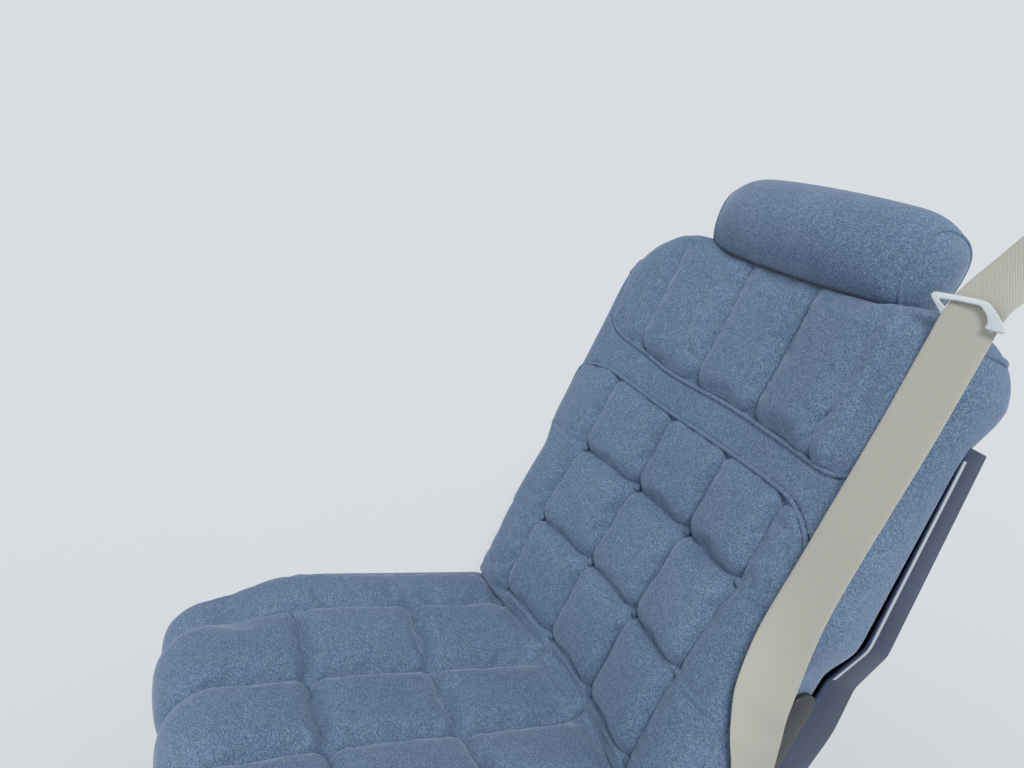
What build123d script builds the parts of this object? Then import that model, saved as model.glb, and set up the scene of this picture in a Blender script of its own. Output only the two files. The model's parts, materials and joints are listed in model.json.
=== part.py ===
"""Front bucket seat of a luxury coupe, in velour, on its floor rails.

Frame: +Z up, -Y towards the front of the car, +X towards the door. The origin is on the
floor, at the middle of the four floor bolts. All sizes are in mm.
The back is drawn in its own leaning frame: x across, v up along the back, w towards the sitter.
"""

import os
from math import cos, radians, sin, sqrt, tan

from build123d import *

os.makedirs("parts", exist_ok=True)

# Width of the seat, shared by the cushion, the back and the frame under them
SEAT_HALF_WIDTH = 250.0

# Back: its lean, levels up along it (v) and depths out of its plane (w)
RECLINE = 29.0
BACK_REF_Y = 188.0
BACK_REF_HEIGHT = 355.0
BACK_HALF_WIDTH = SEAT_HALF_WIDTH
FOOT_INSET = 14.0
BACK_FOOT_HALF_WIDTH = BACK_HALF_WIDTH - FOOT_INSET
BACK_BOTTOM_V = -138.0
FLARE_LOW_V = 70.0
FLARE_HIGH_V = 115.0
SADDLE_V = 390.0
SHOULDER_RISE = 14.0
SHOULDER_TOP_V = SADDLE_V + SHOULDER_RISE
SHOULDER_RADIUS = 66.0
SHOULDER_FRONT_ROUND = 30.0
ROLL_DEPTH = 82.0
ROLL_UNDER_V = SHOULDER_TOP_V - ROLL_DEPTH
ROLL_REAR_W = -60.0
ROLL_ROUND = 22.0

# Face of the back: dished between two crests, with rounded flanks outside them
DISH_LOW_W = -8.0
DISH_SIDE_W = 6.0
BOLSTER_CREST_W = 16.0
CREST_INSET = 38.0
CREST_WIDTH = 12.0
BOLSTER_CREST_X = BACK_HALF_WIDTH - CREST_INSET
FLANK_FRONT_W = -16.0
BOLSTER_ROUND = 14.0

# Sewn panels on the back: puffed pillows between seams, on one sheet let into the face
COLUMN_PITCH = 0.4 * SEAT_HALF_WIDTH
SEAM_GAP = 3.0
PANEL_SHEET = 4.0
PANEL_EDGE_GAP = 2.0
PILLOW_RISE = 17.0
PILLOW_CORNER = 0.12
PILLOW_SPREAD = 0.3
PILLOW_FORM = ((0.0, 0.0), (0.3, 0.76), (1.0, 1.0))
PLEAT_RISE = 15.0
BOLSTER_PILLOW_RISE = 4.0
LOWER_FOOT_V = BACK_BOTTOM_V + 8.0
TUFT_PITCH = 105.0
TUFT_ROWS = (-1.0, 0.0, 1.0)
LOWER_TOP_V = 198.0
LOWER_SHOULDER_DROP = 46.0
LOWER_TOP_INSET = 0.42 * COLUMN_PITCH
PANEL_SIDE_INSET = 2.0
BAND_HEIGHT = 45.0
UPPER_TOP_GAP = 6.0
UPPER_FOOT_INSET = 22.0

# Moulded shell behind the back
SHELL_WALL = 3.0
SHELL_TOP_GAP = 12.0
SHELL_TOP_V = ROLL_UNDER_V - SHELL_TOP_GAP
SHELL_BOTTOM_V = -124.0
SHELL_EDGE_TOP_W = -28.0
SHELL_EDGE_W = -55.0
SHELL_EDGE_BEND_V = 122.0
SHELL_REAR_TOP_W = -55.0
SHELL_BULGE_V = 20.0
SHELL_BULGE_W = -108.0
SHELL_BULGE_ROUND = 90.0
SHELL_REAR_BOTTOM_W = -92.0
SHELL_ROUND = 12.0
TRIM_WIDTH = 4.0
TRIM_PROUD = 1.2
TRIM_BOTTOM_V = 76.0

# Head restraint on its two posts
REST_END_INSET = 97.0
REST_HALF_WIDTH = BACK_HALF_WIDTH - REST_END_INSET
REST_CLEARANCE = 5.0
REST_BOTTOM_V = SADDLE_V + REST_CLEARANCE
REST_HEIGHT = 95.0
REST_CROWN = 8.0
REST_TOP_V = REST_BOTTOM_V + REST_HEIGHT
REST_FRONT_W = 36.0
REST_REAR_W = -64.0
REST_ROUND = 15.0
REST_FLAT_HALF = 0.67 * REST_HALF_WIDTH
REST_END_SWEEP = 44.0
REST_END_ROUND = 40.0
SADDLE_SPARE = 6.0
SADDLE_HALF_WIDTH = REST_HALF_WIDTH + SADDLE_SPARE
POST_RADIUS = 6.0
POST_SPACING = 130.0
POST_W = -34.0
POST_BELOW_REST = 150.0
POST_IN_REST = 60.0
SLEEVE_WALL = 3.0
SLEEVE_DEPTH = 146.0
SLEEVE_FLANGE_RADIUS = 15.0
SLEEVE_FLANGE = 2.5
SLIDING_FIT = 0.08

# Cushion: its seams lie on a plane that rises to the front
CUSHION_TILT = 15.7
CUSHION_HALF_WIDTH = SEAT_HALF_WIDTH
CUSHION_SEAM_Y = -146.0
CUSHION_SEAM_HEIGHT = 297.0
CUSHION_REAR_Y = 97.0
CUSHION_FRONT_Y = -276.0
CUSHION_NOSE_ROUND = 44.0
CUSHION_CHIN_Y = -262.0
CUSHION_BASE_FRONT_Z = 190.0
CUSHION_BASE_REAR_Z = 156.0
CUSHION_ROW_PITCH = 138.0
CUSHION_CORNER = 56.0
CUSHION_BOLSTER_RISE = 20.0
CUSHION_CREST_INSET = 56.0
CUSHION_CREST_X = CUSHION_HALF_WIDTH - CUSHION_CREST_INSET
CUSHION_FLANK_INSET = 22.0
CUSHION_FLANK_DROP = 24.0
CUSHION_PILLOW_RISE = 18.0
CUSHION_EDGE_ROUND = 14.0
NOSE_FOOT_Z = 214.0
NOSE_SWELL = 9.0

# Steel frame under the cushion
SHEET_STEEL = 3.0
SIDE_PLATE_INSET = 42.0
SIDE_PLATE_X = SEAT_HALF_WIDTH - SIDE_PLATE_INSET
SIDE_PLATE_FRONT_Y = -230.0
SIDE_PLATE_REAR_Y = 214.0
SIDE_PLATE_REAR_TOP = 142.0
PAN_LIP = 14.0
LIGHTENING_PITCH = 100.0
LIGHTENING_LENGTH = 68.0
LIGHTENING_WIDTH = 34.0
LIGHTENING_RISE = 38.0
TUBE_RADIUS = 12.5
TUBE_WALL = 2.0
FRONT_TUBE_Y = -192.0
FRONT_TUBE_Z = 140.0
REAR_TUBE_Y = 192.0
REAR_TUBE_Z = 122.0

# Moulded cover on the outside of each side plate
SIDE_COVER_WIDTH = 24.0
SIDE_COVER_WALL = 2.5
SIDE_COVER_TOP = 176.0
SIDE_COVER_BOTTOM = 88.0
SIDE_COVER_CORNER = 12.0
SIDE_COVER_BEVEL = 8.0

# Floor rails
RAIL_INSET = 22.0
RAIL_X = SIDE_PLATE_X - RAIL_INSET
RAIL_LENGTH = 475.0
RAIL_WIDTH = 46.0
RAIL_HEIGHT = 24.0
RAIL_WALL = 2.5
RAIL_LIP = 9.0
SLIDER_FRONT_Y = -164.0
SLIDER_REAR_Y = 160.0
SLIDER_SIDE_GAP = 1.0
SLIDER_STEM = 20.0
RUNNING_GAP = 0.3
FOOT_HEIGHT = 42.0
FOOT_LENGTH = 56.0
FOOT_PLATE = 4.0
FOOT_TOE = 30.0
BOLT_HOLE_RADIUS = 5.5

# Fold hinge of the back
PIVOT_V = -120.0
PIVOT_W = -35.0
PIN_RADIUS = 8.0
HINGE_PLATE = 5.0
HINGE_GAP = 1.5
HINGE_BOSS_RADIUS = 22.0
ARM_TOP_V = 42.0
ARM_TOP_W = -36.0
COVER_RADIUS = 30.0
COVER_FLATS = 16
COVER_THICKNESS = 10.0

# Belt, its guide on the shoulder and its two anchors
BELT_WIDTH = 48.0
BELT_THICKNESS = 1.6
BELT_INSET = 23.0
BELT_X = BACK_HALF_WIDTH - BELT_INSET
BELT_TOP_RUN = 96.0
BELT_TOP_V = SHOULDER_TOP_V + BELT_TOP_RUN
BELT_TOP_SWING = 16.0
BELT_TOP_X = BELT_X + BELT_TOP_SWING
BELT_TOP_W = -2.0
BELT_STRAIGHT_TO_V = 150.0
BELT_ANCHOR_V = -40.0
BELT_ANCHOR_W = -24.0
BELT_LIFT = 0.3
ANCHOR_WIDTH = 54.0
ANCHOR_LENGTH = 44.0
ANCHOR_CORNER = 14.0
ANCHOR_HOLE_RADIUS = 6.0
ANCHOR_BOLT_HEAD = 5.0
GUIDE_DROP = 8.0
GUIDE_V = SHOULDER_TOP_V - GUIDE_DROP
GUIDE_THICKNESS = 6.0
GUIDE_RIM = 6.0
GUIDE_SLOT_DEPTH = 11.0
GUIDE_SLOT_SPARE = 4.0
GUIDE_FOOT_WIDTH = 40.0
GUIDE_FOOT_DEPTH = 30.0

BAR_WIDTH = 14.0
BAR_THICKNESS = 5.0
BAR_REAR_Y = -150.0
BAR_FRONT_Y = -260.0
BAR_Z = 100.0
BAR_BEND = 22.0

LATCH_LENGTH = 44.0
LATCH_V = SHELL_TOP_V - 0.6 * LATCH_LENGTH
LATCH_WIDTH = 20.0
LATCH_PLATE = 2.0

# Directions and planes worked out from the sizes above
lean = radians(RECLINE)
tilt = radians(CUSHION_TILT)
ACROSS = Vector(1, 0, 0)
UP_BACK = Vector(0, sin(lean), cos(lean))
OUT_OF_BACK = Vector(0, -cos(lean), sin(lean))
BACK = Plane(origin=(0, BACK_REF_Y, BACK_REF_HEIGHT), x_dir=ACROSS, z_dir=OUT_OF_BACK)
BACK_SIDE = Plane(origin=BACK.origin, x_dir=OUT_OF_BACK, z_dir=ACROSS * -1)
CUSHION_FACE = Plane(
    origin=(0, CUSHION_SEAM_Y, CUSHION_SEAM_HEIGHT), x_dir=ACROSS, z_dir=(0, sin(tilt), cos(tilt))
)
CUSHION_SECTION = Plane(origin=CUSHION_FACE.origin, x_dir=ACROSS, z_dir=(0, -cos(tilt), sin(tilt)))
SIDES = (("inboard", -1), ("outboard", 1))
FAR = 600.0


def on_back(x, v, w):
    """A point given in the back's own frame."""
    return BACK.from_local_coords(Vector(x, v, w))


def back_section(v):
    """The plane across the back at a level, with its second axis towards the sitter."""
    return Plane(origin=on_back(0, v, 0), x_dir=ACROSS, z_dir=UP_BACK * -1)


def seam_height(y):
    """Height of the cushion's seams above the floor."""
    return CUSHION_SEAM_HEIGHT - (y - CUSHION_SEAM_Y) * tan(tilt)


def base_height(y):
    """Height of the cushion's underside above the floor."""
    slope = (CUSHION_BASE_REAR_Z - CUSHION_BASE_FRONT_Z) / (CUSHION_REAR_Y - CUSHION_CHIN_Y)
    return CUSHION_BASE_FRONT_Z + slope * (y - CUSHION_CHIN_Y)


def both_sides(points):
    """A closed outline from its right half, listed from the foot upwards."""
    return [*points, *((-x, v) for x, v in reversed(points))]


def puffed(plane, corners, rise):
    """A sewn pillow on its cell: drawn in by the seam, with cut corners, and crowned."""
    edges = zip(corners, [*corners[1:], corners[0]])
    shortest = min((Vector(start) - Vector(end)).length for start, end in edges)
    spread = min(rise, PILLOW_SPREAD * shortest)
    with BuildPart() as pillow:
        for inward, upward in PILLOW_FORM:
            with BuildSketch(plane.offset(upward * rise)):
                with BuildLine():
                    Polyline(*corners, close=True)
                make_face()
                offset(amount=-SEAM_GAP / 2 - inward * spread, kind=Kind.INTERSECTION)
                chamfer(vertices(), PILLOW_CORNER * shortest)
        loft(ruled=True)
    return pillow.part


def write(piece, name):
    piece.part.label = name
    export_step(piece.part, f"parts/{name}.step")


PIVOT = on_back(0, PIVOT_V, PIVOT_W)
RAIL_END = RAIL_LENGTH / 2
RAIL_TOP = FOOT_HEIGHT + RAIL_HEIGHT
SLIDER_TOP = RAIL_TOP + 2 * SHEET_STEEL
ARM_X = BACK_FOOT_HALF_WIDTH
BRACKET_X = ARM_X + HINGE_PLATE + HINGE_GAP

# Floor rails: lipped channels, each on two pressed feet with a bolt hole in the toe
for side, sign in SIDES:
    with BuildPart() as rail:
        with BuildSketch(Plane.XZ.offset(-RAIL_END)):
            with Locations((sign * RAIL_X, FOOT_HEIGHT + RAIL_HEIGHT / 2)):
                Rectangle(RAIL_WIDTH, RAIL_HEIGHT)
                Rectangle(RAIL_WIDTH - 2 * RAIL_WALL, RAIL_HEIGHT - 2 * RAIL_WALL, mode=Mode.SUBTRACT)
            with Locations((sign * RAIL_X, RAIL_TOP)):
                Rectangle(RAIL_WIDTH - 2 * RAIL_LIP, 3 * RAIL_WALL, mode=Mode.SUBTRACT)
        extrude(amount=RAIL_LENGTH)
    write(rail, f"rail_fixed_{side}")

    inner = sign * (RAIL_X - RAIL_WIDTH / 2)
    outer = sign * (RAIL_X + RAIL_WIDTH / 2)
    toe = outer + sign * FOOT_TOE
    for end, foot_y in (("front", FOOT_LENGTH / 2 - RAIL_END), ("rear", RAIL_END - FOOT_LENGTH / 2)):
        with BuildPart() as foot:
            with BuildSketch(Plane.XZ.offset(-foot_y - FOOT_LENGTH / 2)):
                with BuildLine():
                    Polyline(
                        (inner, FOOT_HEIGHT),
                        (inner, FOOT_HEIGHT - FOOT_PLATE),
                        (outer - sign * FOOT_PLATE, FOOT_HEIGHT - FOOT_PLATE),
                        (outer - sign * FOOT_PLATE, 0),
                        (toe, 0),
                        (toe, FOOT_PLATE),
                        (outer, FOOT_PLATE),
                        (outer, FOOT_HEIGHT),
                        close=True,
                    )
                make_face()
            extrude(amount=FOOT_LENGTH)
            with Locations((outer + sign * FOOT_TOE / 2, foot_y, FOOT_PLATE)):
                Hole(BOLT_HOLE_RADIUS, depth=FOOT_PLATE)
        write(foot, f"rail_foot_{end}_{side}")

# Sliding rails: a flange that runs inside the lips, a stem, and a flange on top
flange_half = RAIL_WIDTH / 2 - RAIL_WALL - SLIDER_SIDE_GAP
flange_foot = FOOT_HEIGHT + RAIL_WALL + RUNNING_GAP
for side, sign in SIDES:
    with BuildPart() as slider:
        with BuildSketch(Plane.XZ.offset(-SLIDER_REAR_Y)):
            with Locations((sign * RAIL_X, flange_foot + SHEET_STEEL / 2)):
                Rectangle(2 * flange_half, SHEET_STEEL)
            with Locations((sign * RAIL_X, (flange_foot + SLIDER_TOP) / 2)):
                Rectangle(SLIDER_STEM, SLIDER_TOP - flange_foot)
                Rectangle(SLIDER_STEM - 2 * SHEET_STEEL, SLIDER_TOP - flange_foot - 2 * SHEET_STEEL, mode=Mode.SUBTRACT)
            with Locations((sign * RAIL_X, SLIDER_TOP - SHEET_STEEL / 2)):
                Rectangle(RAIL_WIDTH, SHEET_STEEL)
        extrude(amount=SLIDER_REAR_Y - SLIDER_FRONT_Y)
    write(slider, f"rail_sliding_{side}")

# Side plates: from each sliding rail up to the pan, with lightening holes and two tube holes
with BuildSketch() as lightening:
    Rectangle(LIGHTENING_LENGTH, LIGHTENING_WIDTH)
    chamfer(vertices(), LIGHTENING_WIDTH / 3)
lightening_hole = lightening.sketch
for side, sign in SIDES:
    with BuildPart() as side_plate:
        with BuildSketch(Plane.YZ.offset(sign * SIDE_PLATE_X)):
            with BuildLine():
                Polyline(
                    (SIDE_PLATE_FRONT_Y, base_height(SIDE_PLATE_FRONT_Y) - SHEET_STEEL),
                    (SIDE_PLATE_FRONT_Y, FRONT_TUBE_Z - TUBE_RADIUS),
                    (SLIDER_FRONT_Y, SLIDER_TOP),
                    (SLIDER_REAR_Y, SLIDER_TOP),
                    (SIDE_PLATE_REAR_Y, REAR_TUBE_Z - TUBE_RADIUS),
                    (SIDE_PLATE_REAR_Y, SIDE_PLATE_REAR_TOP),
                    (CUSHION_REAR_Y, CUSHION_BASE_REAR_Z - SHEET_STEEL),
                    close=True,
                )
            make_face()
            with Locations((FRONT_TUBE_Y, FRONT_TUBE_Z), (REAR_TUBE_Y, REAR_TUBE_Z)):
                Circle(TUBE_RADIUS, mode=Mode.SUBTRACT)
            for step in (-1, 0, 1):
                with Locations((step * LIGHTENING_PITCH, SLIDER_TOP + LIGHTENING_RISE)):
                    add(lightening_hole, mode=Mode.SUBTRACT)
        extrude(amount=-sign * SHEET_STEEL)
    write(side_plate, f"side_plate_{side}")

# Cross tubes through the side plates; the rear one carries the hinge brackets
for name, tube_y, tube_z, half_length in (
    ("front", FRONT_TUBE_Y, FRONT_TUBE_Z, SIDE_PLATE_X),
    ("rear", REAR_TUBE_Y, REAR_TUBE_Z, BRACKET_X),
):
    with BuildPart() as tube:
        with BuildSketch(Plane.YZ.offset(-half_length)):
            with Locations((tube_y, tube_z)):
                Circle(TUBE_RADIUS)
                Circle(TUBE_RADIUS - TUBE_WALL, mode=Mode.SUBTRACT)
        extrude(amount=2 * half_length)
    write(tube, f"cross_tube_{name}")

# Hinge brackets: a link-shaped plate from the rear tube to the pivot, with the pivot pin
for side, sign in SIDES:
    with BuildPart() as bracket:
        with BuildSketch(Plane.YZ.offset(sign * BRACKET_X)):
            with Locations((PIVOT.Y, PIVOT.Z), (REAR_TUBE_Y, REAR_TUBE_Z)):
                Circle(HINGE_BOSS_RADIUS)
            make_hull()
        extrude(amount=sign * HINGE_PLATE)
        with BuildSketch(Plane.YZ.offset(sign * BRACKET_X)):
            with Locations((PIVOT.Y, PIVOT.Z)):
                Circle(PIN_RADIUS)
        extrude(amount=-sign * (HINGE_GAP + HINGE_PLATE - RUNNING_GAP))
    write(bracket, f"hinge_bracket_{side}")

    with BuildPart() as cap:
        with BuildSketch(Plane.YZ.offset(sign * (BRACKET_X + HINGE_PLATE))):
            with Locations((PIVOT.Y, PIVOT.Z)):
                RegularPolygon(COVER_RADIUS, COVER_FLATS)
        extrude(amount=sign * COVER_THICKNESS)
        chamfer(cap.faces().sort_by(Axis.X)[-1 if sign > 0 else 0].edges(), COVER_THICKNESS / 2)
    write(cap, f"hinge_cap_{side}")

    # Arm on the side of the back, turning on the bracket's pin
    with BuildPart() as arm:
        with BuildSketch(BACK_SIDE.offset(-sign * ARM_X)):
            with Locations((PIVOT_W, PIVOT_V)):
                Circle(HINGE_BOSS_RADIUS)
            with Locations((ARM_TOP_W, ARM_TOP_V)):
                Circle(HINGE_BOSS_RADIUS * 0.7)
            make_hull()
            with Locations((PIVOT_W, PIVOT_V)):
                Circle(PIN_RADIUS + SLIDING_FIT, mode=Mode.SUBTRACT)
        extrude(amount=-sign * HINGE_PLATE)
    write(arm, f"back_arm_{side}")

# Cushion insert: three columns of pillows on one sheet, the front ones wrapped over the nose
insert_front = (CUSHION_FRONT_Y + CUSHION_NOSE_ROUND - CUSHION_SEAM_Y) / cos(tilt)
insert_rear = (CUSHION_REAR_Y - CUSHION_EDGE_ROUND - CUSHION_SEAM_Y) / cos(tilt)
cushion_rows = (0.0, CUSHION_ROW_PITCH, insert_rear)
cushion_columns = [COLUMN_PITCH * step for step in (-1.5, -0.5, 0.5, 1.5)]
nose_y = CUSHION_FRONT_Y - NOSE_SWELL
nose_top = seam_height(CUSHION_FRONT_Y) + CUSHION_PILLOW_RISE
nose_rear_y = CUSHION_SEAM_Y - SEAM_GAP / 2
nose_outline = [
    (nose_rear_y, seam_height(nose_rear_y) - PANEL_SHEET),
    (nose_rear_y - 0.1 * CUSHION_PILLOW_RISE, seam_height(nose_rear_y) + 0.5 * CUSHION_PILLOW_RISE),
    (nose_rear_y - CUSHION_PILLOW_RISE, seam_height(nose_rear_y) + CUSHION_PILLOW_RISE),
    (CUSHION_FRONT_Y + CUSHION_NOSE_ROUND, seam_height(CUSHION_FRONT_Y + CUSHION_NOSE_ROUND) + CUSHION_PILLOW_RISE),
    (CUSHION_FRONT_Y + NOSE_SWELL, nose_top - 2 * NOSE_SWELL),
    (nose_y, nose_top - 2 * NOSE_SWELL - CUSHION_NOSE_ROUND / 2),
    (nose_y + NOSE_SWELL / 3, NOSE_FOOT_Z + 2 * NOSE_SWELL),
    (CUSHION_FRONT_Y + NOSE_SWELL / 2, NOSE_FOOT_Z),
    (CUSHION_FRONT_Y + 2 * NOSE_SWELL, NOSE_FOOT_Z),
    (CUSHION_FRONT_Y + 2 * NOSE_SWELL, seam_height(CUSHION_FRONT_Y) - CUSHION_NOSE_ROUND),
    (CUSHION_FRONT_Y + CUSHION_NOSE_ROUND, seam_height(CUSHION_FRONT_Y + CUSHION_NOSE_ROUND) - PANEL_SHEET),
]
pillows = []
for x0, x1 in zip(cushion_columns, cushion_columns[1:]):
    for y0, y1 in zip(cushion_rows, cushion_rows[1:]):
        pillows.append(puffed(CUSHION_FACE, [(x0, y0), (x1, y0), (x1, y1), (x0, y1)], CUSHION_PILLOW_RISE))
    with BuildPart() as nose:
        with BuildSketch(Plane.YZ.offset(x0 + SEAM_GAP / 2)):
            with BuildLine():
                Polyline(*nose_outline, close=True)
            make_face()
        extrude(amount=x1 - x0 - SEAM_GAP)
        ends = nose.faces().sort_by(Axis.X)
        chamfer([*ends[0].edges(), *ends[-1].edges()], SEAM_GAP)
    pillows.append(nose.part)
with BuildPart() as cushion_insert:
    with BuildSketch(CUSHION_FACE.offset(-PANEL_SHEET)):
        with Locations((0, (insert_front + insert_rear) / 2)):
            Rectangle(3 * COLUMN_PITCH, insert_rear - insert_front)
    extrude(amount=PANEL_SHEET)
    add(pillows)
write(cushion_insert, "cushion_insert")

# Cushion pad: side profile, section across and plan outline, each cutting the last, less the insert
with BuildPart() as cushion:
    with BuildSketch(Plane.YZ.offset(-CUSHION_HALF_WIDTH)):
        with BuildLine():
            crest = CUSHION_BOLSTER_RISE / cos(tilt)
            FilletPolyline(
                (CUSHION_CHIN_Y, CUSHION_BASE_FRONT_Z),
                (CUSHION_REAR_Y, CUSHION_BASE_REAR_Z),
                (CUSHION_REAR_Y, seam_height(CUSHION_REAR_Y) + crest),
                (CUSHION_FRONT_Y, seam_height(CUSHION_FRONT_Y) + crest),
                (CUSHION_FRONT_Y, CUSHION_BASE_FRONT_Z + CUSHION_NOSE_ROUND),
                radius=(6, 6, CUSHION_EDGE_ROUND, CUSHION_NOSE_ROUND, CUSHION_NOSE_ROUND / 2),
                close=True,
            )
        make_face()
    extrude(amount=2 * CUSHION_HALF_WIDTH)
    with BuildSketch(CUSHION_SECTION.offset(-FAR / 2)):
        with BuildLine():
            Polyline(
                *both_sides(
                    [
                        (CUSHION_HALF_WIDTH, -FAR),
                        (CUSHION_HALF_WIDTH, CUSHION_BOLSTER_RISE - 2 * CUSHION_FLANK_DROP),
                        (CUSHION_HALF_WIDTH - CUSHION_FLANK_INSET / 3, CUSHION_BOLSTER_RISE - CUSHION_FLANK_DROP),
                        (CUSHION_HALF_WIDTH - CUSHION_FLANK_INSET, CUSHION_BOLSTER_RISE - CUSHION_FLANK_DROP / 4),
                        (CUSHION_CREST_X, CUSHION_BOLSTER_RISE),
                        (cushion_columns[-1], 0),
                    ]
                ),
                close=True,
            )
        make_face()
    extrude(amount=FAR, mode=Mode.INTERSECT)
    with BuildSketch(Plane.XY):
        with Locations((0, (CUSHION_FRONT_Y + CUSHION_REAR_Y) / 2)):
            RectangleRounded(
                2 * CUSHION_HALF_WIDTH, CUSHION_REAR_Y - CUSHION_FRONT_Y, CUSHION_CORNER
            )
    extrude(amount=FAR, mode=Mode.INTERSECT)
    add(cushion_insert.part, mode=Mode.SUBTRACT)
write(cushion, "cushion_pad")

# Pan: a folded steel tray under the cushion, with its lip up behind it
pan_front_y = CUSHION_CHIN_Y + PAN_LIP
with BuildPart() as pan:
    with BuildSketch(Plane.YZ.offset(-SIDE_PLATE_X)):
        with BuildLine():
            Polyline(
                (pan_front_y, base_height(pan_front_y)),
                (CUSHION_REAR_Y, CUSHION_BASE_REAR_Z),
                (CUSHION_REAR_Y, CUSHION_BASE_REAR_Z + PAN_LIP),
                (CUSHION_REAR_Y + SHEET_STEEL, CUSHION_BASE_REAR_Z + PAN_LIP),
                (CUSHION_REAR_Y + SHEET_STEEL, CUSHION_BASE_REAR_Z - SHEET_STEEL),
                (pan_front_y, base_height(pan_front_y) - SHEET_STEEL),
                close=True,
            )
        make_face()
    extrude(amount=2 * SIDE_PLATE_X)
write(pan, "cushion_pan")

# Moulded side covers: open shells over the outside of the side plates
for side, sign in SIDES:
    with BuildPart() as cover:
        with BuildSketch(Plane.YZ.offset(sign * SIDE_PLATE_X)):
            with BuildLine():
                Polyline(
                    (SIDE_PLATE_FRONT_Y, SIDE_COVER_TOP),
                    (SIDE_PLATE_FRONT_Y, SIDE_COVER_BOTTOM + 40),
                    (SLIDER_FRONT_Y, SIDE_COVER_BOTTOM),
                    (SLIDER_REAR_Y, SIDE_COVER_BOTTOM),
                    (SLIDER_REAR_Y, SIDE_COVER_TOP - 30),
                    close=True,
                )
            make_face()
            chamfer(vertices(), SIDE_COVER_CORNER)
        extrude(amount=sign * SIDE_COVER_WIDTH)
        by_x = cover.faces().sort_by(Axis.X)
        chamfer(by_x[-1 if sign > 0 else 0].edges(), SIDE_COVER_BEVEL)
        inner_face = cover.faces().sort_by(Axis.X)[0 if sign > 0 else -1]
        offset(amount=-SIDE_COVER_WALL, openings=inner_face)
    write(cover, f"side_cover_{side}")

# Bar for sliding the seat: a flat strip bent to a U under the front edge, ends on the side plates
with BuildPart() as slide_bar:
    with BuildSketch(Plane.XY.offset(BAR_Z - BAR_WIDTH / 2)):
        with BuildLine() as bar_line:
            bar_x = SIDE_PLATE_X - SHEET_STEEL
            FilletPolyline(
                (-bar_x, BAR_REAR_Y), (-bar_x, BAR_FRONT_Y), (bar_x, BAR_FRONT_Y), (bar_x, BAR_REAR_Y), radius=BAR_BEND
            )
            offset(amount=BAR_THICKNESS, side=Side.LEFT)
        make_face()
    extrude(amount=BAR_WIDTH)
write(slide_bar, "slide_bar")


def back_outline(inset):
    """Outline of the back: flared foot, round shoulders and the saddle under the head restraint."""
    foot = BACK_FOOT_HALF_WIDTH - inset
    half = BACK_HALF_WIDTH - inset
    bottom = BACK_BOTTOM_V + inset
    top = SHOULDER_TOP_V - inset
    saddle = SADDLE_V - inset
    right = [(foot, bottom), (foot, FLARE_LOW_V), (half, FLARE_HIGH_V), (half, top)]
    right += [(SADDLE_HALF_WIDTH + 6, top), (SADDLE_HALF_WIDTH - 6, saddle)]
    rounds = [8, 30, 30, SHOULDER_RADIUS - inset, 5, 5]
    with BuildSketch(mode=Mode.PRIVATE) as outline:
        with BuildLine():
            FilletPolyline(*both_sides(right), radius=[*rounds, *reversed(rounds)], close=True)
        make_face()
    return outline.sketch


def panel_outline(corners):
    """Outline of an insert from its (half width, level) corners, listed from the foot upwards."""
    with BuildSketch(mode=Mode.PRIVATE) as outline:
        with BuildLine():
            Polyline(*both_sides(corners), close=True)
        make_face()
    return outline.sketch


# Face of the back across, from the middle to the crest, as places and depths
face_line = [
    (COLUMN_PITCH * 0.5, DISH_LOW_W),
    (COLUMN_PITCH * 1.5, DISH_SIDE_W),
    (BOLSTER_CREST_X, BOLSTER_CREST_W),
]

# Back inserts: levels of the seams, corners of the outline from the foot up, and rise
panel_side = BOLSTER_CREST_X - PANEL_SIDE_INSET
upper_foot_v = LOWER_TOP_V + BAND_HEIGHT
upper_top_v = SADDLE_V - UPPER_TOP_GAP
lower_levels = (LOWER_FOOT_V, *(TUFT_PITCH * row for row in TUFT_ROWS), LOWER_TOP_V)
lower_corners = [
    (panel_side, LOWER_FOOT_V),
    (panel_side, LOWER_TOP_V - LOWER_SHOULDER_DROP),
    (panel_side - LOWER_TOP_INSET / 3, LOWER_TOP_V - LOWER_SHOULDER_DROP / 3),
    (panel_side - LOWER_TOP_INSET, LOWER_TOP_V),
]
upper_corners = [
    (panel_side - UPPER_FOOT_INSET, upper_foot_v),
    (panel_side - UPPER_FOOT_INSET / 4, upper_foot_v + UPPER_FOOT_INSET),
    (panel_side, upper_top_v),
]
panels = {
    "back_insert_lower": (lower_levels, lower_corners, PILLOW_RISE),
    "back_insert_upper": ((upper_foot_v, upper_top_v), upper_corners, PLEAT_RISE),
}


def in_front(corners, drop):
    """The space within a panel's outline in front of the back's face, from a level below the face."""
    with BuildPart() as space:
        with BuildSketch(BACK.offset(-FAR / 2)):
            add(panel_outline(corners))
        extrude(amount=FAR)
        with BuildSketch(back_section(FAR)):
            with BuildLine():
                face_side = [(FAR, FAR), (FAR, BOLSTER_CREST_W - drop)]
                face_side += [(x, w - drop) for x, w in reversed(face_line)]
                Polyline(*both_sides(face_side), close=True)
            make_face()
        extrude(amount=2 * FAR, mode=Mode.INTERSECT)
    return space.part


def facet(start, end):
    """The plane of the back's face between two of its seams, and the stretch across it."""
    (x0, w0), (x1, w1) = start, end
    across = on_back(x1, 0, w1) - on_back(x0, 0, w0)
    middle = on_back((x0 + x1) / 2, 0, (w0 + w1) / 2)
    return Plane(origin=middle, x_dir=across, z_dir=across.cross(UP_BACK)), across.length / abs(x1 - x0)


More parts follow.
